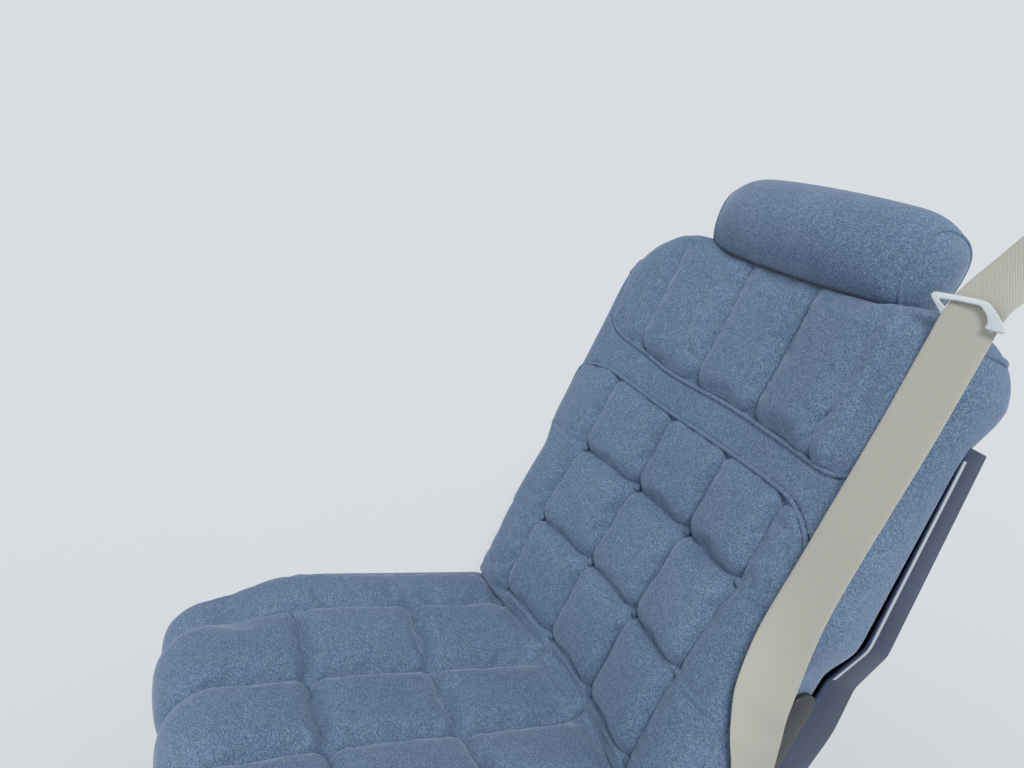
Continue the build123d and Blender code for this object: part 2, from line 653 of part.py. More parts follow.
# Inserts of the back: tufted pillows below, tall pleats above, and a long pillow on each crest
seams = [(-x, w) for x, w in reversed(face_line)] + face_line
for name, (levels, corners, rise) in panels.items():
    pillows = []
    for start, end in zip(seams, seams[1:]):
        plane, stretch = facet(start, end)
        middle_x = (start[0] + end[0]) / 2
        if abs(middle_x) < COLUMN_PITCH * 1.5:
            cells = [
                [(start[0], low), (end[0], low), (end[0], high), (start[0], high)]
                for low, high in zip(levels, levels[1:])
            ]
            cell_rise = rise
        else:
            side = 1 if middle_x > 0 else -1
            inner = side * COLUMN_PITCH * 1.5
            edge = [(side * (x - PANEL_EDGE_GAP), v) for x, v in corners]
            cells = [[(inner, levels[0]), *edge, (inner, levels[-1])]]
            cell_rise = BOLSTER_PILLOW_RISE
        for cell in cells:
            flat_cell = [((x - middle_x) * stretch, v) for x, v in cell]
            pillows.append(puffed(plane, flat_cell, cell_rise))
    with BuildPart() as insert:
        add(in_front(corners, PANEL_SHEET))
        add(in_front(corners, 0), mode=Mode.SUBTRACT)
        add(pillows)
    write(insert, name)
    upper_insert = insert

# Back pad: side profile, section across and outline, each cutting the last, less the two sheets
with BuildPart() as back_pad:
    with BuildSketch(BACK_SIDE.offset(-BACK_HALF_WIDTH)):
        with BuildLine():
            FilletPolyline(
                (BOLSTER_CREST_W, BACK_BOTTOM_V),
                (BOLSTER_CREST_W, SHOULDER_TOP_V),
                (ROLL_REAR_W, SHOULDER_TOP_V),
                (ROLL_REAR_W, ROLL_UNDER_V),
                (SHELL_EDGE_TOP_W, SHELL_TOP_V),
                (SHELL_EDGE_W, SHELL_EDGE_BEND_V),
                (SHELL_EDGE_W, BACK_BOTTOM_V),
                radius=(14, SHOULDER_FRONT_ROUND, ROLL_ROUND, ROLL_ROUND / 2, 1, 10, 4),
                close=True,
            )
        make_face()
    extrude(amount=2 * BACK_HALF_WIDTH)
    with BuildSketch(back_section(FAR)):
        with BuildLine():
            flank = [
                (BACK_HALF_WIDTH + BOLSTER_ROUND, -FAR),
                (BACK_HALF_WIDTH + BOLSTER_ROUND, FLANK_FRONT_W),
                (BOLSTER_CREST_X + CREST_WIDTH, BOLSTER_CREST_W),
            ]
            Polyline(*both_sides([*flank, *reversed(face_line)]), close=True)
        make_face()
    extrude(amount=2 * FAR, mode=Mode.INTERSECT)
    with BuildSketch(BACK.offset(-FAR / 2)):
        add(back_outline(0))
    extrude(amount=FAR, mode=Mode.INTERSECT)
    for levels, corners, rise in panels.values():
        add(in_front(corners, PANEL_SHEET), mode=Mode.SUBTRACT)
    with BuildSketch(back_section(SADDLE_V)):
        with Locations((-POST_SPACING / 2, POST_W), (POST_SPACING / 2, POST_W)):
            Circle(POST_RADIUS + SLIDING_FIT + SLEEVE_WALL)
    extrude(amount=SLEEVE_DEPTH, mode=Mode.SUBTRACT)
write(back_pad, "back_pad")


def shell_form(inset, opening):
    """The shell's outer form, or its hollow: drawn in by the wall, open at the front and the top."""
    with BuildPart() as form:
        with BuildSketch(BACK_SIDE.offset(-BACK_HALF_WIDTH)):
            with BuildLine():
                FilletPolyline(
                    (SHELL_EDGE_TOP_W + opening, SHELL_TOP_V + opening),
                    (SHELL_REAR_TOP_W, SHELL_TOP_V + opening),
                    (SHELL_BULGE_W, SHELL_BULGE_V),
                    (SHELL_REAR_BOTTOM_W, SHELL_BOTTOM_V),
                    (SHELL_EDGE_W + opening, SHELL_BOTTOM_V),
                    (SHELL_EDGE_W + opening, SHELL_EDGE_BEND_V),
                    radius=(1, 1, SHELL_BULGE_ROUND, SHELL_ROUND, 1, 10),
                    close=True,
                )
            make_face()
            if inset:
                offset(amount=-inset)
        extrude(amount=2 * BACK_HALF_WIDTH)
        with BuildSketch(BACK.offset(-FAR / 2)):
            add(back_outline(inset))
        extrude(amount=FAR, mode=Mode.INTERSECT)
    return form.part


# Shell behind the back: one moulding, open towards the pad
shell_outer = shell_form(0, 0)
shell_hollow = shell_form(SHELL_WALL, 2 * SHELL_WALL)
with BuildPart() as shell:
    add(shell_outer)
    add(shell_hollow, mode=Mode.SUBTRACT)
write(shell, "back_shell")

# Bright strip along the shell's front edge, above the hinge arm
for side, sign in SIDES:
    with BuildPart() as strip:
        with BuildSketch(BACK_SIDE.offset(-sign * (BACK_FOOT_HALF_WIDTH - TRIM_WIDTH))):
            with BuildLine():
                Polyline(
                    (SHELL_EDGE_TOP_W, SHELL_TOP_V - SHELL_ROUND),
                    (SHELL_EDGE_W, SHELL_EDGE_BEND_V),
                    (SHELL_EDGE_W, TRIM_BOTTOM_V),
                    (SHELL_EDGE_W - TRIM_WIDTH, TRIM_BOTTOM_V),
                    (SHELL_EDGE_W - TRIM_WIDTH, SHELL_EDGE_BEND_V),
                    (SHELL_EDGE_TOP_W - TRIM_WIDTH, SHELL_TOP_V - SHELL_ROUND),
                    close=True,
                )
            make_face()
        extrude(amount=-sign * FAR)
        with BuildSketch(BACK.offset(-FAR / 2)):
            add(back_outline(-TRIM_PROUD))
            add(back_outline(0), mode=Mode.SUBTRACT)
        extrude(amount=FAR, mode=Mode.INTERSECT)
    write(strip, f"shell_strip_{side}")

# Release for the fold: a bright plate and its lever, on the inboard side near the shell's top
with BuildPart() as latch:
    with BuildSketch(BACK_SIDE.offset(BACK_HALF_WIDTH)):
        with Locations((SHELL_REAR_TOP_W + LATCH_WIDTH / 2 - 8, LATCH_V)):
            Rectangle(LATCH_WIDTH, LATCH_LENGTH)
        chamfer(vertices(), LATCH_WIDTH / 4)
    extrude(amount=LATCH_PLATE)
    with BuildSketch(BACK_SIDE.offset(BACK_HALF_WIDTH + LATCH_PLATE)):
        with Locations((SHELL_REAR_TOP_W + LATCH_WIDTH / 2 - 8, LATCH_V)):
            Rectangle(LATCH_WIDTH * 0.6, LATCH_LENGTH * 0.7)
        chamfer(vertices(), LATCH_WIDTH / 5)
    extrude(amount=3 * LATCH_PLATE)
write(latch, "fold_release")

# Head restraint: D-shaped profile, ends swept back in plan, its top crowned, on two posts
with BuildPart() as rest:
    with BuildSketch(BACK_SIDE.offset(-REST_HALF_WIDTH)):
        with BuildLine():
            FilletPolyline(
                (REST_REAR_W + REST_ROUND, REST_BOTTOM_V),
                (REST_FRONT_W - REST_ROUND, REST_BOTTOM_V),
                (REST_FRONT_W, REST_BOTTOM_V + 0.35 * REST_HEIGHT),
                (REST_FRONT_W - REST_ROUND / 3, REST_BOTTOM_V + 0.75 * REST_HEIGHT),
                (REST_FRONT_W - 2.4 * REST_ROUND, REST_TOP_V),
                (REST_REAR_W + 2 * REST_ROUND, REST_TOP_V),
                (REST_REAR_W, REST_BOTTOM_V + 0.5 * REST_HEIGHT),
                radius=REST_ROUND,
                close=True,
            )
        make_face()
    extrude(amount=2 * REST_HALF_WIDTH)
    with BuildSketch(back_section(FAR)):
        with BuildLine():
            ends = [
                (REST_HALF_WIDTH, REST_REAR_W),
                (REST_HALF_WIDTH, REST_FRONT_W - REST_END_SWEEP / 2),
                (REST_FLAT_HALF, REST_FRONT_W),
            ]
            rounds = [REST_ROUND, REST_END_SWEEP / 2, REST_END_ROUND]
            FilletPolyline(*both_sides(ends), radius=[*rounds, *reversed(rounds)], close=True)
        make_face()
    extrude(amount=2 * FAR, mode=Mode.INTERSECT)
    with BuildSketch(BACK.offset(-FAR / 2)):
        with BuildLine():
            end_top = REST_TOP_V - REST_CROWN
            Polyline(
                (-REST_HALF_WIDTH, end_top),
                (-REST_HALF_WIDTH, REST_BOTTOM_V),
                (REST_HALF_WIDTH, REST_BOTTOM_V),
                (REST_HALF_WIDTH, end_top),
            )
            ThreePointArc((REST_HALF_WIDTH, end_top), (0, REST_TOP_V), (-REST_HALF_WIDTH, end_top))
        make_face()
    extrude(amount=FAR, mode=Mode.INTERSECT)
    with BuildSketch(back_section(REST_BOTTOM_V)):
        with Locations((-POST_SPACING / 2, POST_W), (POST_SPACING / 2, POST_W)):
            Circle(POST_RADIUS)
    extrude(amount=-POST_IN_REST, mode=Mode.SUBTRACT)
write(rest, "head_rest_pad")

for side, sign in SIDES:
    with BuildPart() as post:
        with BuildSketch(back_section(REST_BOTTOM_V + POST_IN_REST)):
            with Locations((sign * POST_SPACING / 2, POST_W)):
                Circle(POST_RADIUS)
        extrude(amount=POST_IN_REST + POST_BELOW_REST)
        chamfer(post.faces().sort_by(Axis(BACK.origin, UP_BACK))[0].edges(), 1.5)
    write(post, f"rest_post_{side}")

    with BuildPart() as sleeve:
        with BuildSketch(back_section(SADDLE_V)):
            with Locations((sign * POST_SPACING / 2, POST_W)):
                Circle(POST_RADIUS + SLIDING_FIT + SLEEVE_WALL)
        extrude(amount=SLEEVE_DEPTH)
        with BuildSketch(back_section(SADDLE_V)):
            with Locations((sign * POST_SPACING / 2, POST_W)):
                Circle(SLEEVE_FLANGE_RADIUS)
        extrude(amount=-SLEEVE_FLANGE)
        with BuildSketch(back_section(SADDLE_V + SLEEVE_FLANGE)):
            with Locations((sign * POST_SPACING / 2, POST_W)):
                Circle(POST_RADIUS + SLIDING_FIT)
        extrude(amount=SLEEVE_FLANGE + SLEEVE_DEPTH, mode=Mode.SUBTRACT)
    write(sleeve, f"post_sleeve_{side}")

# Belt: flat webbing from its top anchor, through the guide, down the bolster and round its side
# to the lower anchor. Columns: level v, place across x, depth w, turn about the back's length
belt_lift = BELT_THICKNESS / 2 + BELT_LIFT
belt_w = BOLSTER_CREST_W + BOLSTER_PILLOW_RISE + belt_lift
belt_side_x = ARM_X + HINGE_PLATE + belt_lift
belt_turns = (
    (BELT_TOP_V, BELT_TOP_X, BELT_TOP_W, 0.0),
    (GUIDE_V + 2 * GUIDE_THICKNESS, BELT_X, belt_w, 0.0),
    (BELT_STRAIGHT_TO_V, BELT_X, belt_w, 0.0),
    (BELT_STRAIGHT_TO_V - 55, BELT_X + 5, belt_w - 1, 22.5),
    (BELT_ANCHOR_V + 80, ARM_X + 4, BOLSTER_CREST_W + 2, 45.0),
    (BELT_ANCHOR_V + 40, ARM_X + 9, BOLSTER_CREST_W / 2 - 6, 67.5),
    (BELT_ANCHOR_V, belt_side_x, BELT_ANCHOR_W, 90.0),
)
with BuildPart() as belt:
    for v, x, w, turn in belt_turns:
        with BuildSketch(back_section(v)):
            with Locations((x, w)):
                Rectangle(BELT_WIDTH, BELT_THICKNESS, rotation=-turn)
    loft(ruled=True)
write(belt, "belt_webbing")

# Anchors at the belt's ends: slotted steel plates with a bolt hole
with BuildPart() as top_anchor:
    with BuildSketch(BACK.offset(BELT_TOP_W - SHEET_STEEL / 2)):
        with Locations((BELT_TOP_X, BELT_TOP_V + ANCHOR_LENGTH / 2)):
            Rectangle(ANCHOR_WIDTH, ANCHOR_LENGTH)
        chamfer(vertices(), ANCHOR_CORNER)
        with Locations((BELT_TOP_X, BELT_TOP_V + ANCHOR_LENGTH - ANCHOR_CORNER)):
            Circle(ANCHOR_HOLE_RADIUS, mode=Mode.SUBTRACT)
    extrude(amount=SHEET_STEEL)
write(top_anchor, "belt_anchor_top")

with BuildPart() as low_anchor:
    with BuildSketch(BACK_SIDE.offset(-ARM_X - HINGE_PLATE)):
        with Locations((BELT_ANCHOR_W, BELT_ANCHOR_V - ANCHOR_LENGTH / 2)):
            Rectangle(ANCHOR_WIDTH, ANCHOR_LENGTH)
        chamfer(vertices(), ANCHOR_CORNER)
    extrude(amount=-SHEET_STEEL)
    with BuildSketch(BACK_SIDE.offset(-ARM_X - HINGE_PLATE - SHEET_STEEL)):
        with Locations((BELT_ANCHOR_W, BELT_ANCHOR_V - ANCHOR_LENGTH + ANCHOR_CORNER)):
            RegularPolygon(ANCHOR_HOLE_RADIUS + 2, 6)
    extrude(amount=-ANCHOR_BOLT_HEAD)
write(low_anchor, "belt_anchor_low")

# Guide: a flat loop round the belt on the shoulder, with a foot that fits the pad under it
guide_w = belt_w + GUIDE_SLOT_DEPTH / 2 - belt_lift
slot_width = BELT_WIDTH + 2 * GUIDE_SLOT_SPARE
with BuildPart() as guide:
    with BuildSketch(back_section(GUIDE_V)):
        with Locations((BELT_X, guide_w)):
            Rectangle(slot_width + 2 * GUIDE_RIM, GUIDE_SLOT_DEPTH + 2 * GUIDE_RIM)
        chamfer(vertices(), GUIDE_RIM * 0.7)
        with Locations((BELT_X, guide_w)):
            Rectangle(slot_width, GUIDE_SLOT_DEPTH, mode=Mode.SUBTRACT)
    extrude(amount=-GUIDE_THICKNESS)
    with BuildSketch(back_section(GUIDE_V)):
        with Locations((BELT_X - GUIDE_FOOT_WIDTH / 4, guide_w - GUIDE_SLOT_DEPTH / 2 - GUIDE_RIM / 2)):
            Rectangle(GUIDE_FOOT_WIDTH, GUIDE_RIM)
    extrude(amount=GUIDE_FOOT_DEPTH)
    add(back_pad.part, mode=Mode.SUBTRACT)
    add(upper_insert.part, mode=Mode.SUBTRACT)
write(guide, "belt_guide")
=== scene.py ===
# %% [markdown]
# # A velour bucket seat, dressed in Blender
#
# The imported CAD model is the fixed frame: it says where every piece is and how it moves.
# This script dresses that frame. It makes the padded velour pieces, the belt and the
# finishes, and leaves the steel parts where they are. Lengths in the helpers are in
# millimetres, and mesh points are in metres, in the frame of the CAD model.

# %% Load the frame
import json
import math

import bpy
import numpy as np
from mathutils import Matrix, Vector


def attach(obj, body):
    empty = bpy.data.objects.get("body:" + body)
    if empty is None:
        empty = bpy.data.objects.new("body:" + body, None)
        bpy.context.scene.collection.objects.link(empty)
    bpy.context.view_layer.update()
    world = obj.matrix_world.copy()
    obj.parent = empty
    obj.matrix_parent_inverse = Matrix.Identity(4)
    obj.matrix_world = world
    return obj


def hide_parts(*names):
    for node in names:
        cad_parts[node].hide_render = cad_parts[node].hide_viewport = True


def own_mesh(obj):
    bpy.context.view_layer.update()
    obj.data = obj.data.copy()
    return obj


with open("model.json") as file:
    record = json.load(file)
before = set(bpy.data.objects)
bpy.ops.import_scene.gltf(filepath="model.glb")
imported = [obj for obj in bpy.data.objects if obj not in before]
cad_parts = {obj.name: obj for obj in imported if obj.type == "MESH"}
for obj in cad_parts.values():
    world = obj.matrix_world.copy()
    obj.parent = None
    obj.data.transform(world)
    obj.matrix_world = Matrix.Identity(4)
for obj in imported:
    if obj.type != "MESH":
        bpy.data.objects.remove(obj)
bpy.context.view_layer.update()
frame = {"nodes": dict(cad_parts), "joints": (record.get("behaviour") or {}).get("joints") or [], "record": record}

MM = 0.001
nodes = frame["nodes"]

# %% [markdown]
# ## The camera
#
# A photograph can be matched by moving a camera until known seams fall on their pixels.
# The numbers below come from such a fit: the place, the turn, the downward tilt and the
# lens. The camera stands beside the seat and looks down across it.

# %% Camera
CAMERA_PLACE = Vector((0.6194, -0.2027, 0.9005))
CAMERA_TURN = math.radians(66.6)
CAMERA_DOWN = math.radians(22.5)
CAMERA_ROLL = math.radians(0.2)
SENSOR_WIDTH = 36.0
FOCAL_PIXELS = 778.3
IMAGE_WIDTH = 1024

forward = Vector((
    -math.sin(CAMERA_TURN) * math.cos(CAMERA_DOWN),
    math.cos(CAMERA_TURN) * math.cos(CAMERA_DOWN),
    -math.sin(CAMERA_DOWN),
))
level = Vector((math.cos(CAMERA_TURN), math.sin(CAMERA_TURN), 0))
upward = level.cross(forward)
right = level * math.cos(CAMERA_ROLL) + upward * math.sin(CAMERA_ROLL)
top = upward * math.cos(CAMERA_ROLL) - level * math.sin(CAMERA_ROLL)

bpy.ops.object.select_all(action="DESELECT")
bpy.ops.object.camera_add(location=CAMERA_PLACE)
camera = bpy.context.object
camera.name = "photo_camera"
camera.rotation_euler = Matrix((right, top, -forward)).transposed().to_euler()
camera.data.sensor_width = SENSOR_WIDTH
camera.data.lens = FOCAL_PIXELS / IMAGE_WIDTH * SENSOR_WIDTH
camera.data.clip_start = 0.02
bpy.context.scene.camera = camera
print("lens:", round(camera.data.lens, 2), "mm")

# %% [markdown]
# ## Nodes for materials
#
# Every finish here is drawn by shader nodes. One small function adds a node, sets its
# properties, and fills or links its inputs, so that each material reads as a short recipe.
# Colours are written as people write them, in hex, and turned to Blender's linear values.

# %% Material helpers
def linear(hex_colour):
    """An sRGB hex colour as linear RGBA."""
    channels = [int(hex_colour[i:i + 2], 16) / 255 for i in (1, 3, 5)]
    return (*(c / 12.92 if c <= 0.04045 else ((c + 0.055) / 1.055) ** 2.4 for c in channels), 1.0)


def fill_inputs(tree, node, **inputs):
    """Inputs are named with underscores for spaces, and take a value or an output."""
    for name, value in inputs.items():
        socket = node.inputs[int(name[1:]) if name[1:].isdigit() else name.replace("_", " ")]
        if isinstance(value, bpy.types.NodeSocket):
            tree.links.new(value, socket)
        else:
            socket.default_value = value


def add(tree, kind, settings=None, stops=(), **inputs):
    """Adds a node with its settings and inputs, and the (place, colour) stops of a ramp."""
    made = tree.nodes.new(kind)
    for name, value in (settings or {}).items():
        setattr(made, name, value)
    if stops:
        elements = made.color_ramp.elements
        while len(elements) < len(stops):
            elements.new(0.5)
        for element, (place, colour) in zip(elements, stops):
            element.position = place
            element.color = linear(colour)
    fill_inputs(tree, made, **inputs)
    return made


def new_material(name):
    """A material with a Principled shader, and its tree."""
    material = bpy.data.materials.new(name)
    material.use_nodes = True
    return material, material.node_tree


def set_shader(tree, **inputs):
    fill_inputs(tree, tree.nodes["Principled BSDF"], **inputs)


def colour_and_relief(tree, shade, stops, height, strength, depth, **inputs):
    """Colour from a shade by its stops, relief from a height, and the shader's other inputs."""
    colour = add(tree, "ShaderNodeValToRGB", stops=stops, Fac=shade).outputs["Color"]
    bump = add(tree, "ShaderNodeBump", Strength=strength, Distance=depth, Height=height)
    set_shader(tree, Base_Color=colour, Normal=bump.outputs["Normal"], **inputs)


# %% [markdown]
# ## Velour
#
# The seat is covered in automotive velour: a knitted pile of short polyester hairs. The
# hairs scatter light at grazing angles, so edges look pale, and each tuft of pile catches
# the light a little differently, which gives a fine sparkle. A hand brushed over it leaves
# lighter and darker patches. The recipe is a rough base with sheen, a grain for the tufts,
# and a slow noise for the brushed patches. The real tufts are about half a millimetre
# apart, which is finer than a pixel here, so the grain is drawn three times as coarse.

# %% Velour materials
TUFT_SCALE = 620  # per metre, so 1.6 mm apart
CLUMP_SCALE = TUFT_SCALE / 4
PATCH_SCALE = 9  # a hand's width
CLUMP_SHARE = 0.15
PATCH_SHARE = 0.12
PILE_HEIGHT = 0.0012


def velour(name, dark, middle, pale):
    material, tree = new_material(name)
    place = add(tree, "ShaderNodeTexCoord").outputs["Object"]
    tufts, clumps, patches = (
        add(
            tree, "ShaderNodeTexNoise", Vector=place, Scale=scale, Detail=detail, Roughness=rough,
        ).outputs["Fac"]
        for scale, detail, rough in (
            (TUFT_SCALE, 2.0, 0.7), (CLUMP_SCALE, 2.0, 0.6), (PATCH_SCALE, 3.0, 0.55),
        )
    )
    grain = add(tree, "ShaderNodeMix", Factor=CLUMP_SHARE, A=tufts, B=clumps).outputs[0]
    shade = add(tree, "ShaderNodeMix", Factor=PATCH_SHARE, A=grain, B=patches).outputs[0]
    colour_and_relief(
        tree, shade, ((0.34, dark), (0.5, middle), (0.66, pale)), grain, 0.35, PILE_HEIGHT,
        Roughness=0.9, Specular_IOR_Level=0.2,
        Sheen_Weight=0.45, Sheen_Roughness=0.45, Sheen_Tint=linear("#c9d4e6"),
    )
    return material


FINISHES = {
    "velour_plain": velour("velour_plain_pile", "#4b617b", "#637a95", "#8699b0"),
    "velour_sewn": velour("velour_sewn_pile", "#4a607a", "#627994", "#8598af"),
}

# %% [markdown]
# ## Hard finishes
#
# The rear shell and side covers are moulded ABS, dyed navy, with a leathery grain from the
# mould. The strips are polished stainless steel. The frame and rails are steel with baked
# black paint, which has a faint orange peel and some dust. The posts and anchors are zinc
# plated, and the belt guide is acetal in a pale tint.

# %% Hard materials
GRAIN_SCALE = 700  # cells of 1.4 mm
PAINT_PEEL_SCALE = 260  # ripples of 4 mm
DRAWN_LINES = 900  # lines 1.1 mm apart, and long where the stretch is low
DYE_SCALE = 14
DUST_SCALE = 22


def moulded(name, colour_low, colour_high, roughness, grain_strength):
    material, tree = new_material(name)
    place = add(tree, "ShaderNodeTexCoord").outputs["Object"]
    cells = add(tree, "ShaderNodeTexVoronoi", Vector=place, Scale=GRAIN_SCALE)
    dye = add(tree, "ShaderNodeTexNoise", Vector=place, Scale=DYE_SCALE, Detail=3.0)
    colour_and_relief(
        tree, dye.outputs["Fac"], ((0.35, colour_low), (0.65, colour_high)),
        cells.outputs["Distance"], grain_strength, 0.0004, Roughness=roughness,
    )
    return material


def metal(name, colour, roughness, stretch, bump_strength):
    material, tree = new_material(name)
    place = add(tree, "ShaderNodeTexCoord").outputs["Object"]
    along = add(tree, "ShaderNodeMapping", Vector=place, Scale=stretch)
    stretched = along.outputs["Vector"]
    lines = add(tree, "ShaderNodeTexNoise", Vector=stretched, Scale=DRAWN_LINES, Detail=3.0)
    drawn = lines.outputs["Fac"]
    rough = add(
        tree, "ShaderNodeMapRange", Value=drawn,
        From_Min=0.3, From_Max=0.7, To_Min=roughness * 0.8, To_Max=roughness * 1.2,
    )
    bump = add(tree, "ShaderNodeBump", Strength=bump_strength, Distance=0.0002, Height=drawn)
    set_shader(
        tree, Base_Color=linear(colour), Metallic=1.0,
        Roughness=rough.outputs["Result"], Normal=bump.outputs["Normal"],
    )
    return material


def baked_paint(name, colour_low, colour_high):
    material, tree = new_material(name)
    place = add(tree, "ShaderNodeTexCoord").outputs["Object"]
    peel = add(tree, "ShaderNodeTexNoise", Vector=place, Scale=PAINT_PEEL_SCALE, Detail=2.0)
    dust = add(tree, "ShaderNodeTexNoise", Vector=place, Scale=DUST_SCALE, Detail=5.0)
    colour_and_relief(
        tree, dust.outputs["Fac"], ((0.4, colour_low), (0.7, colour_high)),
        peel.outputs["Fac"], 0.25, 0.0003, Roughness=0.42, Coat_Weight=0.25,
    )
    return material


FINISHES |= {
    "painted_steel": baked_paint("black_baked_enamel", "#232529", "#34363a"),
    "plated_steel": metal("zinc_plated_steel", "#b4b6b9", 0.34, (1, 0.06, 1), 0.15),
    "bright_trim": metal("polished_stainless_strip", "#d9dde2", 0.16, (1, 0.05, 0.05), 0.04),
    "navy_moulding": moulded("navy_grained_abs", "#22324d", "#2c3d5a", 0.34, 0.25),
    "black_plastic": moulded("black_grained_plastic", "#17181b", "#202226", 0.45, 0.3),
    "pale_plastic": moulded("pale_smooth_acetal", "#cad3d6", "#dde4e6", 0.28, 0.05),
}
slot_of_node = {s["node"]: s["material_slot"] for s in frame["record"]["subparts"]}
for name, node in nodes.items():
    finish = FINISHES.get(slot_of_node[name])
    if finish:
        node.data.materials.clear()
        node.data.materials.append(finish)
print("finishes on", len(nodes), "CAD nodes")

# %% [markdown]
# ## A frame for the back
#
# The back leans, so its pieces are easiest to draw in the back's own frame: x across, v up
# along the back and w out of it, towards the sitter. The head restraint slides exactly
# along the back, so its joint gives both the direction and a known point.

# %% The back's frame
LIFT_V = 386.0
POST_W = -34.0
lift = next(j for j in frame["joints"] if j["name"] == "head_rest_lift")
UP_BACK = np.array(lift["axis"], float)
OUT_BACK = np.array([0.0, -UP_BACK[2], UP_BACK[1]])
BACK_ORIGIN = np.array(lift["pos_m"], float) - MM * (LIFT_V * UP_BACK + POST_W * OUT_BACK)


def on_back(x, v, w):
    """Points in metres from the back's own x, v and w in millimetres."""
    x, v, w = (np.asarray(a, float).reshape(-1, 1) for a in (x, v, w))
    return BACK_ORIGIN + MM * (x * np.array([1.0, 0.0, 0.0]) + v * UP_BACK + w * OUT_BACK)


def smooth(t):
    """A soft step from 0 to 1."""
    t = np.clip(t, 0.0, 1.0)
    return t * t * (3 - 2 * t)


def quarter_round(distance, radius, power=2.0):
    """0 at an edge, 1 from one radius in, on a quarter circle, or fuller with a power."""
    q = np.clip(distance / radius, 0.0, 1.0)
    return np.maximum(0.0, 1 - (1 - q) ** power) ** (1 / power)


print("back's reference point:", BACK_ORIGIN.round(4))

# %% [markdown]
# ## Sheets of points
#
# A padded piece here starts as one or two grid primitives. Each grid point is placed by a
# function of its two places on the grid, across and along, which run from 0 to 1. Stops
# put chosen grid lines exactly on the seams, so that a seam can later be pinned, and the
# lines crowd together near them, where the surface bends most.

# %% Grid helpers
CROWDING = 0.55
WELD_GAP = 0.05


def read_points(piece):
    points = np.empty(len(piece.data.vertices) * 3, np.float32)
    piece.data.vertices.foreach_get("co", points)
    return points.reshape(-1, 3).astype(float)


def write_points(piece, points):
    piece.data.vertices.foreach_set("co", np.asarray(points, np.float32).ravel())
    piece.data.update()


def keep_number(piece, name, values):
    """Stores one number per point, which survives joining and welding."""
    layer = piece.data.attributes.new(name, "FLOAT", "POINT")
    layer.data.foreach_set("value", np.asarray(values, np.float32))


def take_number(piece, name):
    values = np.empty(len(piece.data.vertices), np.float32)
    piece.data.attributes[name].data.foreach_get("value", values)
    return values


def select_only(*pieces):
    if bpy.context.object and bpy.context.object.mode != "OBJECT":
        bpy.ops.object.mode_set(mode="OBJECT")
    bpy.ops.object.select_all(action="DESELECT")
    for piece in pieces:
        piece.select_set(True)
    bpy.context.view_layer.objects.active = pieces[0]


def put_in_scene(name, data):
    """A new selected object for a curve or a mesh."""
    made = bpy.data.objects.new(name, data)
    bpy.context.scene.collection.objects.link(made)
    select_only(made)
    return made


def weld(piece, gap=WELD_GAP, flat_angle=None):
    """Merges doubled points, rejoins flat faces where asked, and turns the faces outwards."""
    select_only(piece)
    bpy.ops.object.mode_set(mode="EDIT")
    bpy.ops.mesh.select_all(action="SELECT")
    bpy.ops.mesh.remove_doubles(threshold=gap * MM)
    if flat_angle:
        bpy.ops.mesh.dissolve_limited(angle_limit=math.radians(flat_angle))
    bpy.ops.mesh.normals_make_consistent(inside=False)
    bpy.ops.object.mode_set(mode="OBJECT")


def subdivide(piece, levels=1):
    select_only(piece)
    rounder = piece.modifiers.new("Subdivision", "SUBSURF")
    rounder.levels = rounder.render_levels = levels
    bpy.ops.object.modifier_apply(modifier="Subdivision")


def between(q, stops, counts):
    """Places on a line from grid places 0 to 1, with counts grid steps between the stops."""
    cells = np.interp(q * sum(counts), np.cumsum([0, *counts]), np.arange(len(stops)))
    crowded = cells - CROWDING * np.sin(2 * np.pi * cells) / (2 * np.pi)
    return np.interp(crowded, np.arange(len(stops)), stops)


def sheet(name, columns, rows, place, side=0.0):
    """A grid whose points are placed by a function of (across, along)."""
    if bpy.context.object:
        bpy.ops.object.select_all(action="DESELECT")
    bpy.ops.mesh.primitive_grid_add(x_subdivisions=columns, y_subdivisions=rows, size=1)
    made = bpy.context.object
    made.name = made.data.name = name
    flat = read_points(made) + 0.5
    keep_number(made, "across", flat[:, 0])
    keep_number(made, "along", flat[:, 1])
    keep_number(made, "side", np.full(len(flat), side))
    write_points(made, place(flat[:, 0], flat[:, 1]))
    return made


def closed_form(name, columns, rows, face, rear):
    """Two sheets welded along their common edge, with their faces turned outwards."""
    front_sheet = sheet(name, columns, rows, face, side=1.0)
    rear_sheet = sheet(name + "_rear", columns, rows, rear)
    select_only(front_sheet, rear_sheet)
    bpy.ops.object.join()
    weld(front_sheet)
    return front_sheet


def finish_piece(piece, body, slot, replaced=(), finish=None):
    """Smooth shading, the slot's finish or another, and the piece's place in the CAD model."""
    select_only(piece)
    bpy.ops.object.shade_smooth_by_angle(angle=math.radians(50))
    piece.data.materials.clear()
    piece.data.materials.append(FINISHES[finish or slot])
    for name in ("across", "along", "side"):
        if name in piece.data.attributes:
            piece.data.attributes.remove(piece.data.attributes[name])
    if replaced:
        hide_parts(*replaced)
    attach(piece, body)
    print(piece.name, len(piece.data.polygons), "faces")


# %% [markdown]
# ## The cover of the back
#
# The back is foam under a velour cover. Across, its face is dished: low in the middle, and
# rising to a crest near each side, where it turns over to the flank. Along, it ends in two
# round shoulders with a saddle between them for the head restraint, and the inboard
# shoulder is the rounder one. Behind the shoulders it hangs over the rear shell in a roll.
# One closed form carries all of this: a face sheet and a rear sheet meet at the outline,
# and each rounds off towards it on a quarter circle.

